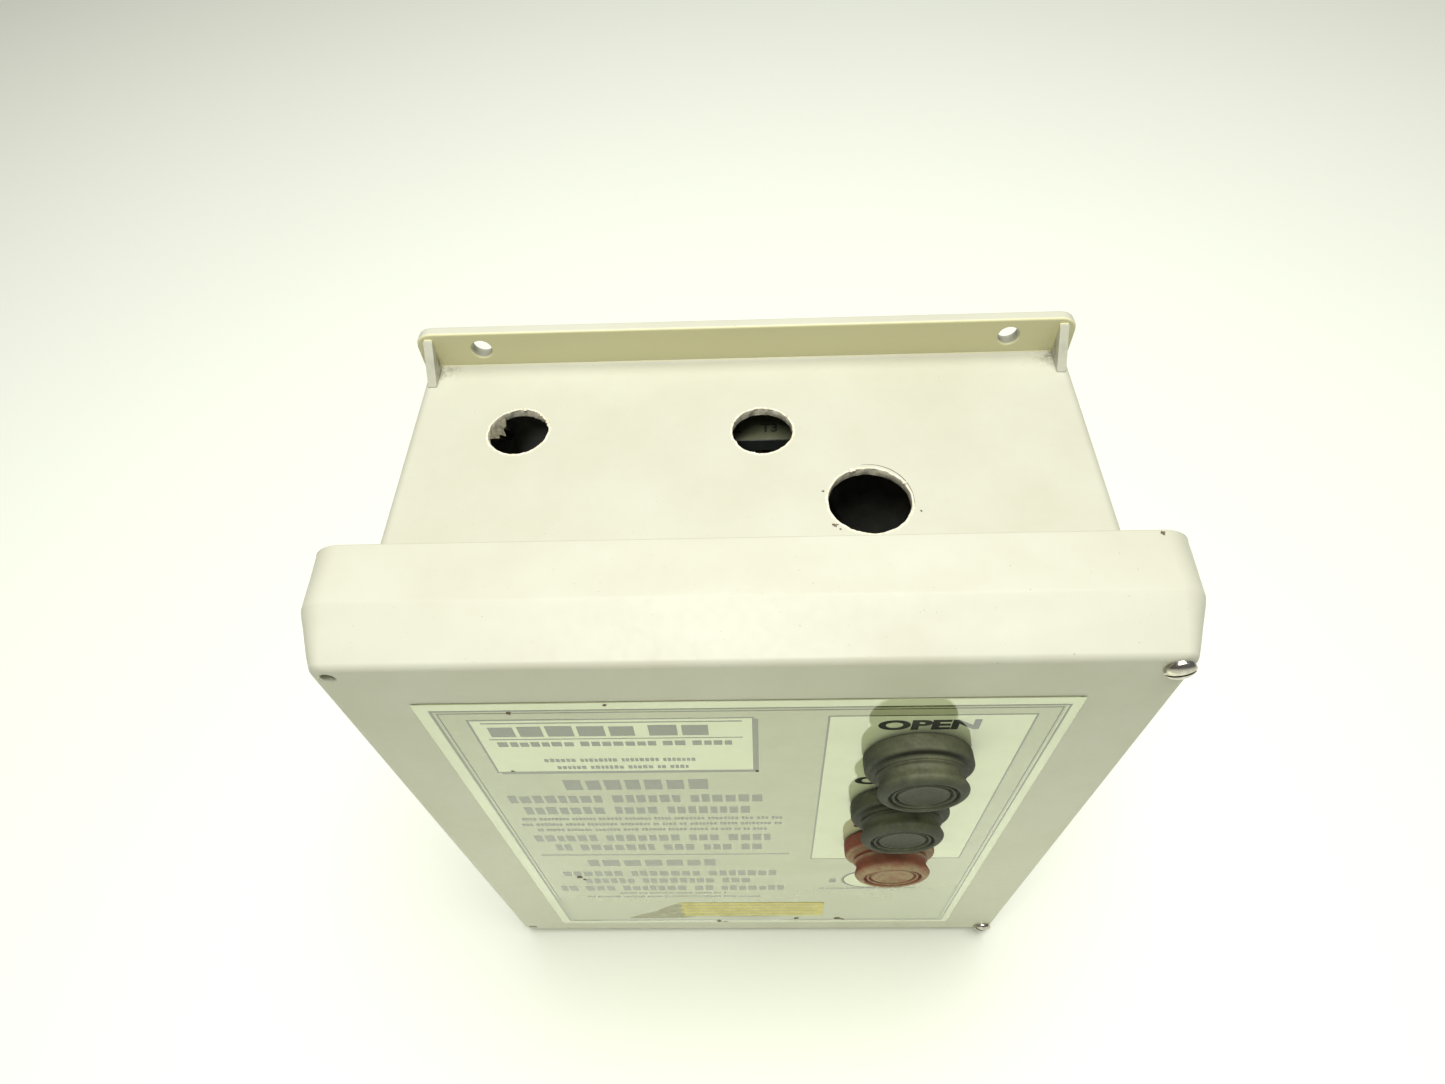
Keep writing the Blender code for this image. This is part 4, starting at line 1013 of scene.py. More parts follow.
def make_label_print():
    """White panels first, then grey and black print on layers above them."""
    panel = bar(25.8, 92.8, 135.0, 282.0)
    ring_place = (RING_X, depth(LABEL_FRONT) - INK, RING_Z)
    disc = ring_of([(0.0131, 0), (0.0001, 0), (0.0001, -INK), (0.0131, -INK)], ring_place, around=96)
    heading_box = bar(-92.0, 2.0, 238.0, 281.8)
    band = frame_of(-106.8, 104.6, 23.8, 292.9, 4.3)
    lay("label_white_panels", [panel, heading_box, band, disc], "cover", "printed_label", "white_ink")
    draw = np.random.default_rng(4)
    grey = [frame_of(-102.3, 101.5, 27.2, 288.5, 0.8, 2), frame_of(25.8, 92.8, 135.0, 282.0, 0.7, 2)]
    grey.append(frame_of(-100.4, 99.6, 29.1, 286.6, 0.45, 2))
    grey += [
        frame_of(-92.0, 2.0, 238.0, 281.8, 0.8, 2), bar(-90.5, 3.2, 236.6, 238.0),
        bar(2.0, 3.2, 236.6, 280.4),
    ]
    for left, right, low, height in (
        (-69.8, -13.9, 220.6, 9.6),
        (-94.1, 15.6, 207.2, 7.8),
        (-90.3, 10.6, 194.8, 7.8),
        (-93.3, 13.2, 161.6, 7.8),
        (-86.4, 6.3, 149.2, 7.8),
        (-75.8, -4.8, 126.4, 9.6),
        (-90.2, 11.6, 110.9, 7.8),
        (-81.4, 3.0, 99.3, 7.8),
        (-95.4, 16.4, 86.6, 7.8),
    ):
        grey.append(dummy_line(draw, left, right, low, height, 0.80 if height > 9 else 0.52))
    for left, right, low, height in (
        (-93.7, 14.0, 187.6, 2.7),
        (-95.0, 14.1, 181.2, 2.7),
        (-89.9, 8.8, 174.6, 2.7),
        (-67.4, -12.8, 80.4, 2.4),
        (-84.9, 5.9, 74.2, 2.4),
        (-18.9, 12.5, 34.0, 3.4),
        (-69.2, -20.9, 240.8, 3.0),
        (-72.7, -15.5, 247.2, 3.0),
        (32.0, 80.0, 87.4, 2.0),
    ):
        grey.append(dummy_line(draw, left, right, low, height, layer=2))
    grey += [
        bar(-95.1, 16.1, 142.0, 143.4), bar(-88.0, -2.0, 278.6, 279.4, 2), bar(-88.0, -2.0, 266.2, 266.9, 2)
    ]
    grey.append(dummy_line(draw, -86.5, -2.0, 268.6, 8.4, 1.05, 0.9, 2))
    grey.append(dummy_line(draw, -86.0, -3.0, 260.6, 3.8, 1.0, 0.84, 2))
    lay("label_grey_print", grey, "cover", "printed_label", "grey_ink")
    dark = [bar(36.4, 39.4, 98.6, 104.4)]
    dark.append(ring_of([(0.0142, 0), (0.0128, 0), (0.0128, -INK), (0.0142, -INK)], ring_place, around=96))
    for text, middle, height, width in (
        ("OPEN", 59.0, 274.5, 33.2), ("CLOSE", 58.5, 227.5, 40.0), ("STOP", 58.5, 180.5, 33.0)
    ):
        flat, faces = words(text, 0.010, 0.046)
        span = flat.max(axis=0) - flat.min(axis=0)
        place = (middle * MM, depth(LABEL_FRONT) - 2 * INK, height * MM + LABEL_RISE)
        dark.append(printed(flat, faces, place, (width * MM / span[0], 0.0074 / span[1])))
    lay("label_black_print", dark, "cover", "printed_label", "black_ink")


def make_tape():
    """A strip of old tape with a nibbled outline, and the grey patch where part of it tore away."""
    draw = np.random.default_rng(12)
    share = np.linspace(0, 1, 40, endpoint=False)
    left, right, low, high = -40.0, 36.0, 38.0, 63.0
    run, rise, level = (right - left) * share, (high - low) * share, np.ones(40)
    xs = np.concatenate([left + run, right * level, right - run, left * level])
    zs = np.concatenate([low * level, low + rise, high * level, high - rise])
    outline = np.stack([xs, zs], axis=-1) + draw.normal(0.0, 0.16, (160, 2))
    outline[120:, 0] += 2.5 * np.abs(np.sin(np.linspace(0, 9.0, 40)))
    outline = outline * MM
    outline[:, 1] += LABEL_RISE
    front = depth(LABEL_FRONT) - 0.0002
    strip = solid("yellow_tape", prism(outline, front, front + 0.00015))
    dress(strip, "cover", "printed_label", "tape")
    patch = np.array(
        [
            (-69.0, 33.0), (-38.0, 34.0), (-30.0, 44.0), (-38.0, 60.0), (-46.0, 56.0), (-53.0, 47.0),
            (-62.0, 40.0),
        ]
    )
    wander = 0.25 * np.sin(np.arange(len(patch) * 12) * 1.9)[:, None]
    patch = (curve_through(np.concatenate([patch, patch[:1]]), 12)[:-1] + wander) * MM
    patch[:, 1] += LABEL_RISE
    front = depth(LABEL_FRONT) - INK
    dress(solid("tape_residue", prism(patch, front, front + INK * 0.9)), "cover", "printed_label", "stain")
    specks = [dummy_line(draw, -36.0, 32.0, low, 1.5) for low in (41.5, 47.0, 52.5, 58.0)]
    specks = [(points - np.array([0.0, 0.00021, 0.0]), faces) for points, faces in specks]
    lay("tape_print", specks, "cover", "printed_label", "stain")


# ---------------------------------------------------------------- push buttons


def make_boot(name, z, finish, lean):
    """A boot turned from a smooth curve: dished face, two grooves, waist, drum, then back up inside.
    Its skin leans sideways in proportion to its height."""
    outer = [
        (0.2, 15.00), (4.0, 15.05), (6.8, 15.35), (8.0, 15.75), (8.6, 15.75), (8.95, 15.35), (9.15, 14.75),
        (9.5, 14.75), (9.7, 15.4), (10.05, 16.0), (10.6, 16.05), (10.95, 15.5), (11.15, 14.8), (11.6, 14.8),
        (11.8, 15.6), (12.1, 16.3), (12.7, 16.5), (13.7, 16.25), (14.8, 15.6), (15.45, 14.75), (15.55, 14.0),
        (15.2, 13.1), (14.7, 12.0), (14.55, 11.0), (14.75, 10.1), (15.35, 9.55), (15.6, 9.3), (15.45, 8.95),
        (15.0, 8.3), (15.15, 7.7), (15.7, 7.25), (16.6, 7.15), (17.6, 7.15), (18.3, 6.9), (18.7, 6.3),
        (18.8, 5.6), (18.8, 2.6), (18.65, 1.4), (18.0, 0.75),
    ]
    inner = [
        (16.3, 0.70), (16.2, 1.0), (16.2, 4.2), (15.6, 5.0), (14.0, 5.7), (13.3, 6.6), (13.1, 8.0),
        (13.1, 12.6),
    ]
    inner += [(12.6, 13.2), (0.2, 13.3)]
    skin = curve_through(outer, 4)
    points, faces = turned(np.concatenate([skin, np.array(inner)]) * MM, (BUTTON_X, FRONT_Y, z), around=96)
    outside = np.arange(len(points)) < 96 * len(skin)
    outside[-2] = True
    rise = np.clip((FRONT_Y - points[:, 1]) / 0.0165, 0, 1)
    points[:, 0] += np.where(outside, lean * (0.4 + 0.6 * rise), 0)
    boot = solid(name + "_boot_soft", (points, faces), 75)
    dress(boot, None, finish, finish, stands_for=name + "_boot")
    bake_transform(boot)


def make_button_parts(name, z, settings):
    """A button's hard parts: turned bushing and stem, helical spring, block, bridge and screws."""
    place = (BUTTON_X, FRONT_Y, z)
    threads = []
    for at in np.arange(-0.0032, -0.0136, -settings.thread):
        threads += [
            (0.0110, at), (0.0110, at - 0.25 * settings.thread), (0.0105, at - 0.5 * settings.thread)
        ]
    collar = [
        (0.0072, 0.0023), (0.0074, 0.0024), (0.0147, 0.0024), (0.0150, 0.0021), (0.0150, 0.0007),
        (0.0110, 0.0007),
    ]
    shape = ring_of([*collar, *threads, (0.0107, -0.0140), (0.0072, -0.0140)], place, around=64)
    dress(
        solid(name + "_bushing_threaded", shape), "cover", "grey_nylon", "grey_nylon",
        stands_for=name + "_bushing",
    )
    refined(name + "_nut", "cover", "zinc_plated_steel", 0.0004, "zinc")
    stem = [
        (0.0001, 0.0130), (0.0118, 0.0130), (0.0122, 0.0126), (0.0122, 0.0104), (0.0118, 0.0100),
        (0.0071, 0.0100),
    ]
    stem += [(0.0068, 0.0097), (0.0068, -0.0166), (0.0064, -0.0170), (0.0001, -0.0170)]
    shape = turned(stem, place, around=48)
    dress(
        solid(name + "_plunger_turned", shape), name + "_button", "grey_nylon", "grey_nylon",
        stands_for=name + "_plunger",
    )
    wire = settings.spring_wire
    route = helix(BUTTON_X, z, -0.0097 + wire, -0.0027 - wire, 0.0092, settings.spring_turns)
    spring = solid(name + "_return_spring", sweep(route, wire, 10), 60)
    dress(spring, None, "spring_steel", "spring", stands_for=name + "_spring")
    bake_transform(spring)
    refined(name + "_contact_block", "cover", "dark_bakelite", 0.0004, "bakelite")

    def at_tips(centers):
        return (centers[:, 1] > depth(0.0254)) & (np.abs(centers[:, 0] - BUTTON_X) > 0.0045)

    refined(
        name + "_contact_bridge", name + "_button", "plated_brass", 0.00025, "brass", "silver",
        second=at_tips,
    )
    screws = []
    for side in (-1, 1):
        head = [
            (0.0001, 0.0010), (0.0014, 0.0009), (0.0019, 0.0004), (0.0020, 0.0), (0.0020, -0.0006),
            (0.0001, -0.0006),
        ]
        screws.append(
            turned(head, (BUTTON_X + side * 0.0118, depth(0.0150) - 0.0006, z + 0.0135), around=20)
        )
        low = (BUTTON_X + side * 0.0118 - 0.0021, depth(0.0141), z + 0.0112)
        high = (BUTTON_X + side * 0.0118 + 0.0021, depth(0.0146), z + 0.0158)
        screws.append(block(low, high, 0.0004, 0.0001))
    lay(name + "_block_terminals", screws, "cover", "plated_brass", "brass")


# ---------------------------------------------------------------- screws


def slotted_screw(
    name, node, body, x, z, seat, head, height, shank, end, finish, slot, angle=0.0, around=48
):
    """A domed head turned with its shank, and a straight driver slot turned to the angle."""
    share = np.linspace(0, 1, 9)
    dome = np.stack(
        [head * np.sin(share * np.pi / 2), height * (0.28 + 0.72 * np.cos(share * np.pi / 2))], axis=-1
    )
    dome[0, 0] = 0.0001
    length = end - seat
    neck = [(head, 0.0001), (head - 0.0001, 0.0), (shank, 0.0)]
    turns = np.arange(0.0015, length - 0.0012, 0.0007)
    crests = np.tile([shank, shank - 0.00022], len(turns))
    thread = np.stack([crests, -np.repeat(turns, 2) - np.tile([0, 0.00035], len(turns))], axis=-1)
    tip = [(shank - 0.0005, -length), (0.0001, -length)]
    screw = solid(
        name, turned(np.concatenate([dome, neck, thread, tip]), (x, depth(seat), z), around=around)
    )
    half, width = head * 1.15, 0.00055
    points, faces = block((-half, -height * 0.30, -width), (half, 0.0010, width), 0.0001, 0.00005, axis=0)
    turn = np.array(
        [[math.cos(angle), 0, math.sin(angle)], [0, 1, 0], [-math.sin(angle), 0, math.cos(angle)]]
    )
    points = points @ turn.T + np.array([x, depth(seat) - height - 0.00002 + height * 0.25, z])
    combine(screw, "DIFFERENCE", (points, faces))
    dress(screw, body, slot, finish, stands_for=node)


def make_screws():
    """The cover, plate and ground screws."""
    for name, side, angle in (("upper", 1, -0.35), ("lower", -1, 0.5)):
        height = CENTER_Z + side * SCREW_Z
        slotted_screw(
            f"cover_screw_{name}_slotted", f"cover_screw_{name}", "cover", SCREW_X, height, -0.0001,
            0.0046, 0.0027, 0.0020, 0.0255, "nickel", "zinc_plated_steel", angle,
        )
    names = ("lower_left", "upper_left", "lower_right", "upper_right")
    for k, (name, (x, z)) in enumerate(zip(names, corners(FOOT_X, FOOT_Z))):
        slotted_screw(
            f"plate_screw_{name}_slotted", f"plate_screw_{name}", "enclosure", x, z, 0.1307,
            0.0045, 0.0024, 0.0020, 0.1400, "zinc", "zinc_plated_steel", 0.7 * k,
        )
    slotted_screw(
        "ground_screw_slotted", "ground_screw", "enclosure", -0.1000, 0.1000, 0.1197,
        0.0040, 0.0022, 0.0021, 0.1245, "brass", "plated_brass", 0.3,
    )


# ---------------------------------------------------------------- switchgear


def clamp_screw(x, z, front, radius=0.0030):
    """A terminal screw on its square washer, along Y from its front."""
    head = [
        (0.0001, 0.0), (radius * 0.75, -0.00005), (radius * 0.98, -0.0004), (radius, -0.0010),
        (radius, -0.0026), (0.0001, -0.0026),
    ]
    washer = block(
        (x - 0.0042, depth(front + 0.0024), z - 0.0042), (x + 0.0042, depth(front + 0.0034), z + 0.0042),
        0.0006, 0.00015,
    )
    return together(turned(head, (x, depth(front), z), around=24), washer)


def make_contactor(name, x):
    """A contactor: refined copies of its nodes, a helical spring, clamp screws and marks."""
    z = CONTACTOR_Z
    refined(name + "_contactor_base", "enclosure", "dark_bakelite", 0.0006, "bakelite")
    refined(name + "_contactor_head", "enclosure", "dark_bakelite", 0.0004, "bakelite")
    refined(name + "_contactor_coil", "enclosure", "coil_tape", 0.0004, "tape_wound")

    def on_armature(centers):
        return centers[:, 1] > depth(0.0924)

    refined(
        name + "_contactor_carrier", name + "_contactor_armature", "white_nylon", 0.0004,
        "white_nylon", "core", second=on_armature,
    )
    route = helix(x, z, 0.0963 + 0.0004, 0.1157 - 0.0004, 0.0046, 5)
    spring = solid(name + "_armature_spring", sweep(route, 0.0004, 8), 60)
    dress(spring, None, "spring_steel", "spring", stands_for=name + "_contactor_spring")
    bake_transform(spring)
    clamps = [
        clamp_screw(
            x + k * TERMINAL_SPACING, z + end * 0.0320, 0.0600
        ) for end in (-1, 1) for k in (-1, 0, 1)
    ]
    lay(name + "_contactor_terminals", clamps, "enclosure", "plated_brass", "brass")
    marks = []
    for k, text in ((-1, "1"), (0, "2"), (1, "3")):
        for prefix, end in (("L", 1), ("T", -1)):
            flat, faces = words(prefix + text, 0.0042)
            place = (x + k * TERMINAL_SPACING, depth(HEAD_FRONT) - 0.00006, z + end * 0.0215)
            marks.append(printed(flat, faces, place, thickness=0.0001))
    lay(name + "_contactor_marks", marks, "enclosure", "dark_bakelite", "mark")


def make_overload():
    """The overload relay: refined copies, ticks on an arc about its dial, clamp screws."""
    x, z = CONTACTOR_X["open"], RELAY_Z
    refined("overload_relay", "enclosure", "dark_bakelite", 0.0005, "bakelite")
    refined("overload_reset_button", "overload_reset", "red_nylon", 0.0005, "red_nylon")
    refined("overload_dial", "overload_setting", "white_nylon", 0.0003, "white_nylon")
    ticks = []
    for angle in np.radians(np.arange(-60, 61, 20)):
        inner, outer = 0.0062, 0.0078
        direction = np.array([math.sin(angle), math.cos(angle)])
        across = np.array([direction[1], -direction[0]]) * 0.0002
        middle = np.array([x + 0.0090, z + 0.0060])
        outline = [middle + inner * direction - across, middle + inner * direction + across]
        outline += [middle + outer * direction + across, middle + outer * direction - across]
        ticks.append(prism(outline, depth(RELAY_FRONT) - 0.0001, depth(RELAY_FRONT) - 0.00002))
    flat, faces = words("RESET", 0.0030)
    ticks.append(
        printed(flat, faces, (x - 0.0110, depth(RELAY_FRONT) - 0.0001, z + 0.0135), thickness=0.00008)
    )
    lay("overload_marks", ticks, "enclosure", "dark_bakelite", "mark")
    clamps = [clamp_screw(x + k * TERMINAL_SPACING, z - 0.0165, 0.0700) for k in (-1, 0, 1)]
    lay("overload_terminals", clamps, "enclosure", "plated_brass", "brass")


def strip_place(k):
    """Where across the box the terminal strip's way k lies: its ways share what its ends leave."""
    return STRIP_X - 0.044 + 0.0012 + (k + 0.5) * (0.088 - 0.0024) / 8


def make_supply():
    """The transformer, fuse, both terminal strips, ground lug and plate: refined copies of their
    nodes, with turned screws and caps."""
    x = TRANSFORMER_X
    refined("transformer_core", "enclosure", "core_steel", 0.0003, "core")
    refined("transformer_coil", "enclosure", "coil_tape", 0.0012, "tape_wound")

    def on_clips(centers):
        return centers[:, 1] < depth(0.1238)

    refined("fuse_holder", "enclosure", "dark_bakelite", 0.0003, "bakelite", "nickel", second=on_clips)
    tube = [(0.0001, -0.0110), (0.0029, -0.0110), (0.0029, 0.0110), (0.0001, 0.0110)]
    middle = (x, depth(FUSE_DEPTH), FUSE_Z)
    glass = solid("fuse_glass_tube", turned(tube, middle, 0, 40))
    dress(glass, "enclosure", "fuse_glass", "glass", stands_for="fuse")
    caps = []
    for side in (-1, 1):
        profile = [
            (0.0001, 0.0160), (0.0028, 0.0160), (0.0032, 0.0156), (0.0032, 0.0098), (0.00305, 0.0096),
            (0.0001, 0.0096),
        ]
        caps.append(turned([(r, side * h) for r, h in profile], middle, 0, 40))
    lay("fuse_end_caps", caps, "enclosure", "plated_brass", "nickel")
    refined("terminal_strip", "enclosure", "dark_bakelite", 0.0003, "bakelite")
    clamps = []
    for k in range(8):
        center = strip_place(k)
        for end in (-1, 1):
            head = [
                (0.0001, 0.0), (0.0020, -0.0001), (0.0024, -0.0005), (0.0024, -0.0019), (0.0001, -0.0019)
            ]
            clamps.append(turned(head, (center, depth(0.1152), STRIP_Z + end * 0.0060), around=20))
            low = (center - 0.0038, depth(0.1168), STRIP_Z + end * 0.0060 - 0.0038)
            high = (center + 0.0038, depth(0.1178), STRIP_Z + end * 0.0060 + 0.0038)
            clamps.append(block(low, high, 0.0005, 0.00015))
    lay("strip_terminals", clamps, "enclosure", "plated_brass", "nickel")
    marks = []
    for k in range(8):
        center = strip_place(k)
        flat, faces = words(str(k + 1), 0.0040)
        marks.append(printed(flat, faces, (center, depth(0.1180) - 0.00012, STRIP_Z), thickness=0.0001))
    lay("strip_numbers", marks, "enclosure", "dark_bakelite", "mark")

    # Painted shade: the motor strip's front faces take the dark phenolic finish and its top keeps the olive
    # moulding, a shaded and a lit copy of one part.
    def shaded_front(centers):
        return centers[:, 1] < depth(0.1134)

    refined(
        "motor_terminal_strip", "enclosure", "dark_bakelite", 0.0004, "olive", "bakelite", second=shaded_front
    )
    clamps, marks = [], []
    for k, text in ((-1, "T1"), (0, "T2"), (1, "T3")):
        center = MOTOR_STRIP_X + k * TERMINAL_SPACING
        clamps.append(clamp_screw(center, 0.2775, 0.1150, 0.0028))
        flat, faces = words(text, 0.0062, 0.03)
        marks.append(
            printed(flat, faces, (center, depth(0.1196), 0.2910 + 0.00008), plane="top", thickness=0.00006)
        )
    lay("motor_strip_terminals", clamps, "enclosure", "plated_brass", "brass")
    lay("motor_strip_marks", marks, "enclosure", "dark_bakelite", "dark_mark")
    refined("ground_lug", "enclosure", "plated_brass", 0.0004, "brass")
    refined("mounting_plate", "enclosure", "zinc_plated_steel", 0.0004, "plate")


# ---------------------------------------------------------------- wiring


def wire(name, knots, radius, finish, slot, body="enclosure", around=14, stands_for=None):
    """A round wire on the Catmull-Rom curve through (across, depth, height) knots."""
    route = curve_through(knots, 10)
    route[:, 1] += FRONT_Y
    made = solid(name, sweep(route, radius, around), 50)
    dress(made, body, slot, finish, stands_for=stands_for)
    return made


def make_wiring():
    """Every wire: a tube on a smooth curve through a few knots."""
    left, right = CONTACTOR_X["close"], CONTACTOR_X["open"]
    for k, name in ((-1, "line_wire_1"), (0, "line_wire_2"), (1, "line_wire_3")):
        start, end = left + k * TERMINAL_SPACING, right + k * TERMINAL_SPACING
        bow = 0.0660 + k * 0.0090
        knots = [(start, 0.0660, 0.2445), (start, 0.0660, 0.2560), (start + 0.006, bow, 0.2680)]
        knots += [((start + end) / 2, bow, 0.2740), (end - 0.006, bow, 0.2680)]
        knots += [(end, 0.0660, 0.2560), (end, 0.0660, 0.2445)]
        wire(name + "_insulated", knots, 0.0015, "black_pvc", "black_wire", stands_for=name)
    x, z = TRANSFORMER_X, TRANSFORMER_Z
    feed = [(x - 0.008, 0.0875, z + 0.004), (x - 0.008, 0.0835, z + 0.004), (x - 0.011, 0.0790, z + 0.010)]
    feed += [(x - 0.017, 0.0840, z + 0.026), (x - 0.024, 0.1020, z + 0.042)]
    feed += [(x - 0.026, 0.1160, FUSE_Z - 0.001), (x - 0.026, 0.1237, FUSE_Z)]
    wire("control_feed_insulated", feed, 0.0012, "red_pvc", "red_wire", stands_for="control_wire_feed")
    load = [
        (x + 0.026, 0.1237, FUSE_Z), (x + 0.026, 0.1150, FUSE_Z + 0.002), (x + 0.018, 0.1070, FUSE_Z + 0.010)
    ]
    load += [(x, 0.1030, FUSE_Z + 0.016), (x - 0.018, 0.1010, RELAY_Z), (0.0323, 0.1000, RELAY_Z)]
    wire("control_load_insulated", load, 0.0012, "red_pvc", "red_wire", stands_for="control_wire_load")
    refined("loom_socket", "enclosure", "white_nylon", 0.0004, "white_nylon")
    refined("loom_plug", "cover", "white_nylon", 0.0004, "white_nylon")
    bends = ((PLUG_X, 0.0937), (PLUG_X, 0.0830), (0.0970, 0.0660), (0.0920, 0.0500))
    bends += ((0.0840, 0.0390), (0.0770, 0.0345), (0.0718, 0.0340))
    knots = [(across, back, PLUG_Z) for across, back in bends]
    wire(
        "button_loom_sleeved", knots, 0.0025, "black_pvc", "black_wire", "cover", 18,
        stands_for="button_loom",
    )
    names = list(BUTTON_Z)
    for upper, lower in zip(names, names[1:]):
        high, low = BUTTON_Z[upper], BUTTON_Z[lower]
        for side, label in ((-1, "left"), (1, "right")):
            at = BUTTON_X + side * 0.0130
            knots = [(at, 0.0300, high - 0.0085), (at + side * 0.004, 0.0320, high - 0.0140)]
            knots += [
                (at + side * 0.0055, 0.0340, (high + low) / 2 - 0.004),
                (at + side * 0.004, 0.0320, low - 0.0030),
            ]
            knots += [(at, 0.0300, low - 0.0085)]
            wire(f"{upper}_to_{lower}_lead_{label}", knots, 0.0009, "red_pvc", "red_wire", "cover", 10)


# ---------------------------------------------------------------- stage


def make_stage(stage, colours):
    """A wide pale floor, an even white sky, a broad soft lamp overhead, two small ones, and the
    camera. The low lamp stays out of mirror images, so that no bright streak shows on the label."""
    points = np.array([(-6, -6, 0), (6, -6, 0), (6, 6, 0), (-6, 6, 0)], float)
    mesh = bpy.data.meshes.new("floor")
    mesh.from_pydata(points.tolist(), [], [[0, 1, 2, 3]])
    floor = bpy.data.objects.new("floor", mesh)
    bpy.context.scene.collection.objects.link(floor)
    made, tree, skin, place = begin("painted_floor_white", 0.6)
    paint = add(tree, "TexNoise", {"Vector": place, "Scale": 3.0, "Detail": 2.0})
    tone = add(
        tree, "Mix", {0: paint, 6: tuple(colours.floor), 7: darker(colours.floor, 0.985)}, 2,
        data_type="RGBA",
    )
    tree.links.new(tone, skin["Base Color"])
    mesh.materials.append(made)
    world = bpy.data.worlds.new("even_white_sky")
    world.use_nodes = True
    sky = world.node_tree.nodes["Background"]
    sky.inputs["Color"].default_value = linear("#FFFFFF")
    sky.inputs["Strength"].default_value = stage.sky
    bpy.context.scene.world = world
    for name, power, size, tint, place, aim in (
        ("overhead_lamp", stage.lamp, (1.7, 1.7), "#FFFFFD", (0.10, 0.15, 2.2), (0.0, 0.0, 0.2)),
        ("fill_lamp", stage.fill, (0.30, 0.30), "#FFFFFD", (-0.10, -0.31, 1.03), (0.0, 0.03, 0.3)),
        ("low_lamp", stage.bounce, (0.46, 0.06), "#F8FFE6", (0.0, -0.44, 0.05), (0.0, -0.06, 0.05)),
    ):
        lamp = bpy.data.lights.new(name, "AREA")
        lamp.energy = power
        lamp.shape = "ELLIPSE"
        lamp.size, lamp.size_y = size
        lamp.color = linear(tint)[:3]
        holder = bpy.data.objects.new(name, lamp)
        holder.visible_glossy = name != "low_lamp"
        holder.location = place
        holder.rotation_euler = (Vector(aim) - Vector(place)).to_track_quat("-Z", "Y").to_euler()
        bpy.context.scene.collection.objects.link(holder)
    lens = bpy.data.cameras.new("camera")
    lens.sensor_width = 36.0
    lens.lens = stage.lens
    lens.clip_start = 0.01
    lens.clip_end = 50.0
    camera = bpy.data.objects.new("camera", lens)
    camera.location = (0.00262, -0.19069, 0.54722)
    camera.rotation_euler = (0.639904, 0.038391, 0.005717)
    bpy.context.scene.collection.objects.link(camera)
    bpy.context.scene.camera = camera
    bpy.context.scene.view_settings.view_transform = "Standard"


# ---------------------------------------------------------------- operators and panel


class CONTROLBOX_OT_finishes(bpy.types.Operator):
    """Make every finish from the colours"""

    bl_idname = "control_box.finishes"
    bl_label = "Finishes"

    def execute(self, context):
        make_finishes(context.scene.control_box_colours)
        return {"FINISHED"}


class CONTROLBOX_OT_box(bpy.types.Operator):
    """Make the wall box with its flanges, ribs and drilled holes"""

    bl_idname = "control_box.box"
    bl_label = "Wall box"

    def execute(self, context):
        make_wall_box(context.scene.control_box_shell)
        make_hole_edges(context.scene.control_box_shell)
        make_torn_flake()
        return {"FINISHED"}


class CONTROLBOX_OT_cover(bpy.types.Operator):
    """Make the lift-off cover"""

    bl_idname = "control_box.cover"
    bl_label = "Cover"

    def execute(self, context):
        make_cover_pan(context.scene.control_box_shell)
        return {"FINISHED"}


class CONTROLBOX_OT_label(bpy.types.Operator):
    """Make the label sheet, its print, the old tape and the caked dirt"""

    bl_idname = "control_box.label"
    bl_label = "Label"

    def execute(self, context):
        make_label_sheet()
        make_label_print()
        make_tape()
        make_dirt()
        return {"FINISHED"}


class CONTROLBOX_OT_buttons(bpy.types.Operator):
    """Make the three booted push buttons"""

    bl_idname = "control_box.buttons"
    bl_label = "Push buttons"

    def execute(self, context):
        for name, z in BUTTON_Z.items():
            finish = "red_rubber" if name == "stop" else "black_rubber"
            make_boot(name, z, finish, getattr(context.scene.control_box_button, name + "_lean"))
            make_button_parts(name, z, context.scene.control_box_button)
        return {"FINISHED"}


class CONTROLBOX_OT_screws(bpy.types.Operator):
    """Make the slotted screws"""

    bl_idname = "control_box.screws"
    bl_label = "Screws"

    def execute(self, context):
        make_screws()
        return {"FINISHED"}


class CONTROLBOX_OT_contactors(bpy.types.Operator):
    """Make both contactors"""

    bl_idname = "control_box.contactors"
    bl_label = "Contactors"

    def execute(self, context):
        for name, x in CONTACTOR_X.items():
            make_contactor(name, x)
        return {"FINISHED"}


class CONTROLBOX_OT_overload(bpy.types.Operator):
    """Make the overload relay with its reset and its dial"""

    bl_idname = "control_box.overload"
    bl_label = "Overload relay"

    def execute(self, context):
        make_overload()
        return {"FINISHED"}


class CONTROLBOX_OT_supply(bpy.types.Operator):
    """Make the plate, transformer, fuse, terminal strip and ground lug"""

    bl_idname = "control_box.supply"
    bl_label = "Plate and supply"

    def execute(self, context):
        make_supply()
        return {"FINISHED"}


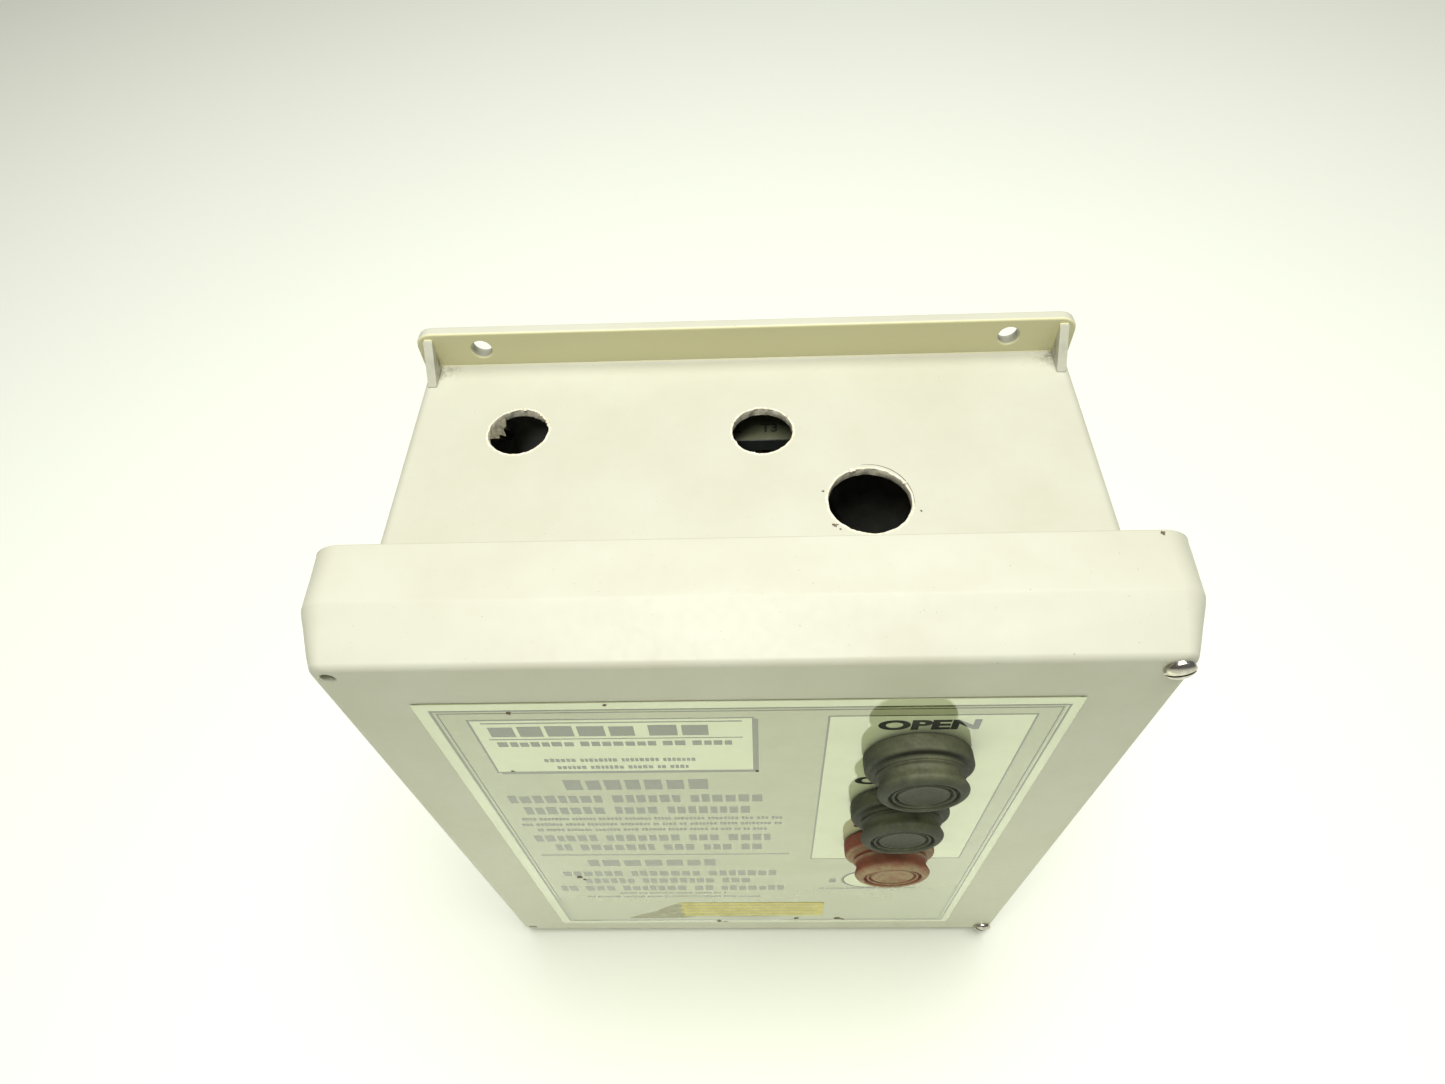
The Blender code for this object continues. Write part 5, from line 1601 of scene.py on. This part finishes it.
class CONTROLBOX_OT_wiring(bpy.types.Operator):
    """Make the wires, the loom and its plug and socket"""

    bl_idname = "control_box.wiring"
    bl_label = "Wiring"

    def execute(self, context):
        make_wiring()
        return {"FINISHED"}


class CONTROLBOX_OT_stage(bpy.types.Operator):
    """Make the floor, the light and the camera"""

    bl_idname = "control_box.stage"
    bl_label = "Stage"

    def execute(self, context):
        make_stage(context.scene.control_box_stage, context.scene.control_box_colours)
        return {"FINISHED"}


OPERATORS = (
    CONTROLBOX_OT_finishes,
    CONTROLBOX_OT_box,
    CONTROLBOX_OT_cover,
    CONTROLBOX_OT_label,
    CONTROLBOX_OT_buttons,
    CONTROLBOX_OT_screws,
    CONTROLBOX_OT_contactors,
    CONTROLBOX_OT_overload,
    CONTROLBOX_OT_supply,
    CONTROLBOX_OT_wiring,
    CONTROLBOX_OT_stage,
)
SETTINGS = {
    "control_box_colours": ControlBoxColours,
    "control_box_shell": ControlBoxShell,
    "control_box_button": ControlBoxButton,
    "control_box_stage": ControlBoxStage,
}


class CONTROLBOX_PT_panel(bpy.types.Panel):
    """Sizes, colours and buttons for every group of pieces"""

    bl_idname = "CONTROLBOX_PT_panel"
    bl_label = "Control box"
    bl_space_type = "VIEW_3D"
    bl_region_type = "UI"
    bl_category = "Control box"

    def draw(self, context):
        for setting in SETTINGS:
            group = getattr(context.scene, setting)
            for name in group.__annotations__:
                self.layout.prop(group, name)
        for operator in OPERATORS:
            self.layout.operator(operator.bl_idname)


def register():
    """Registers the settings, operators and panel."""
    for made in (*SETTINGS.values(), *OPERATORS, CONTROLBOX_PT_panel):
        bpy.utils.register_class(made)
    for name, group in SETTINGS.items():
        setattr(bpy.types.Scene, name, bpy.props.PointerProperty(type=group))


def unregister():
    """Removes what register() added."""
    for name in SETTINGS:
        delattr(bpy.types.Scene, name)
    for made in (CONTROLBOX_PT_panel, *reversed(OPERATORS), *reversed(tuple(SETTINGS.values()))):
        bpy.utils.unregister_class(made)


def main():
    """Makes everything in order."""
    register()
    for operator in OPERATORS:
        group, name = operator.bl_idname.split(".")
        getattr(getattr(bpy.ops, group), name)()


if __name__ == "__main__":
    main()
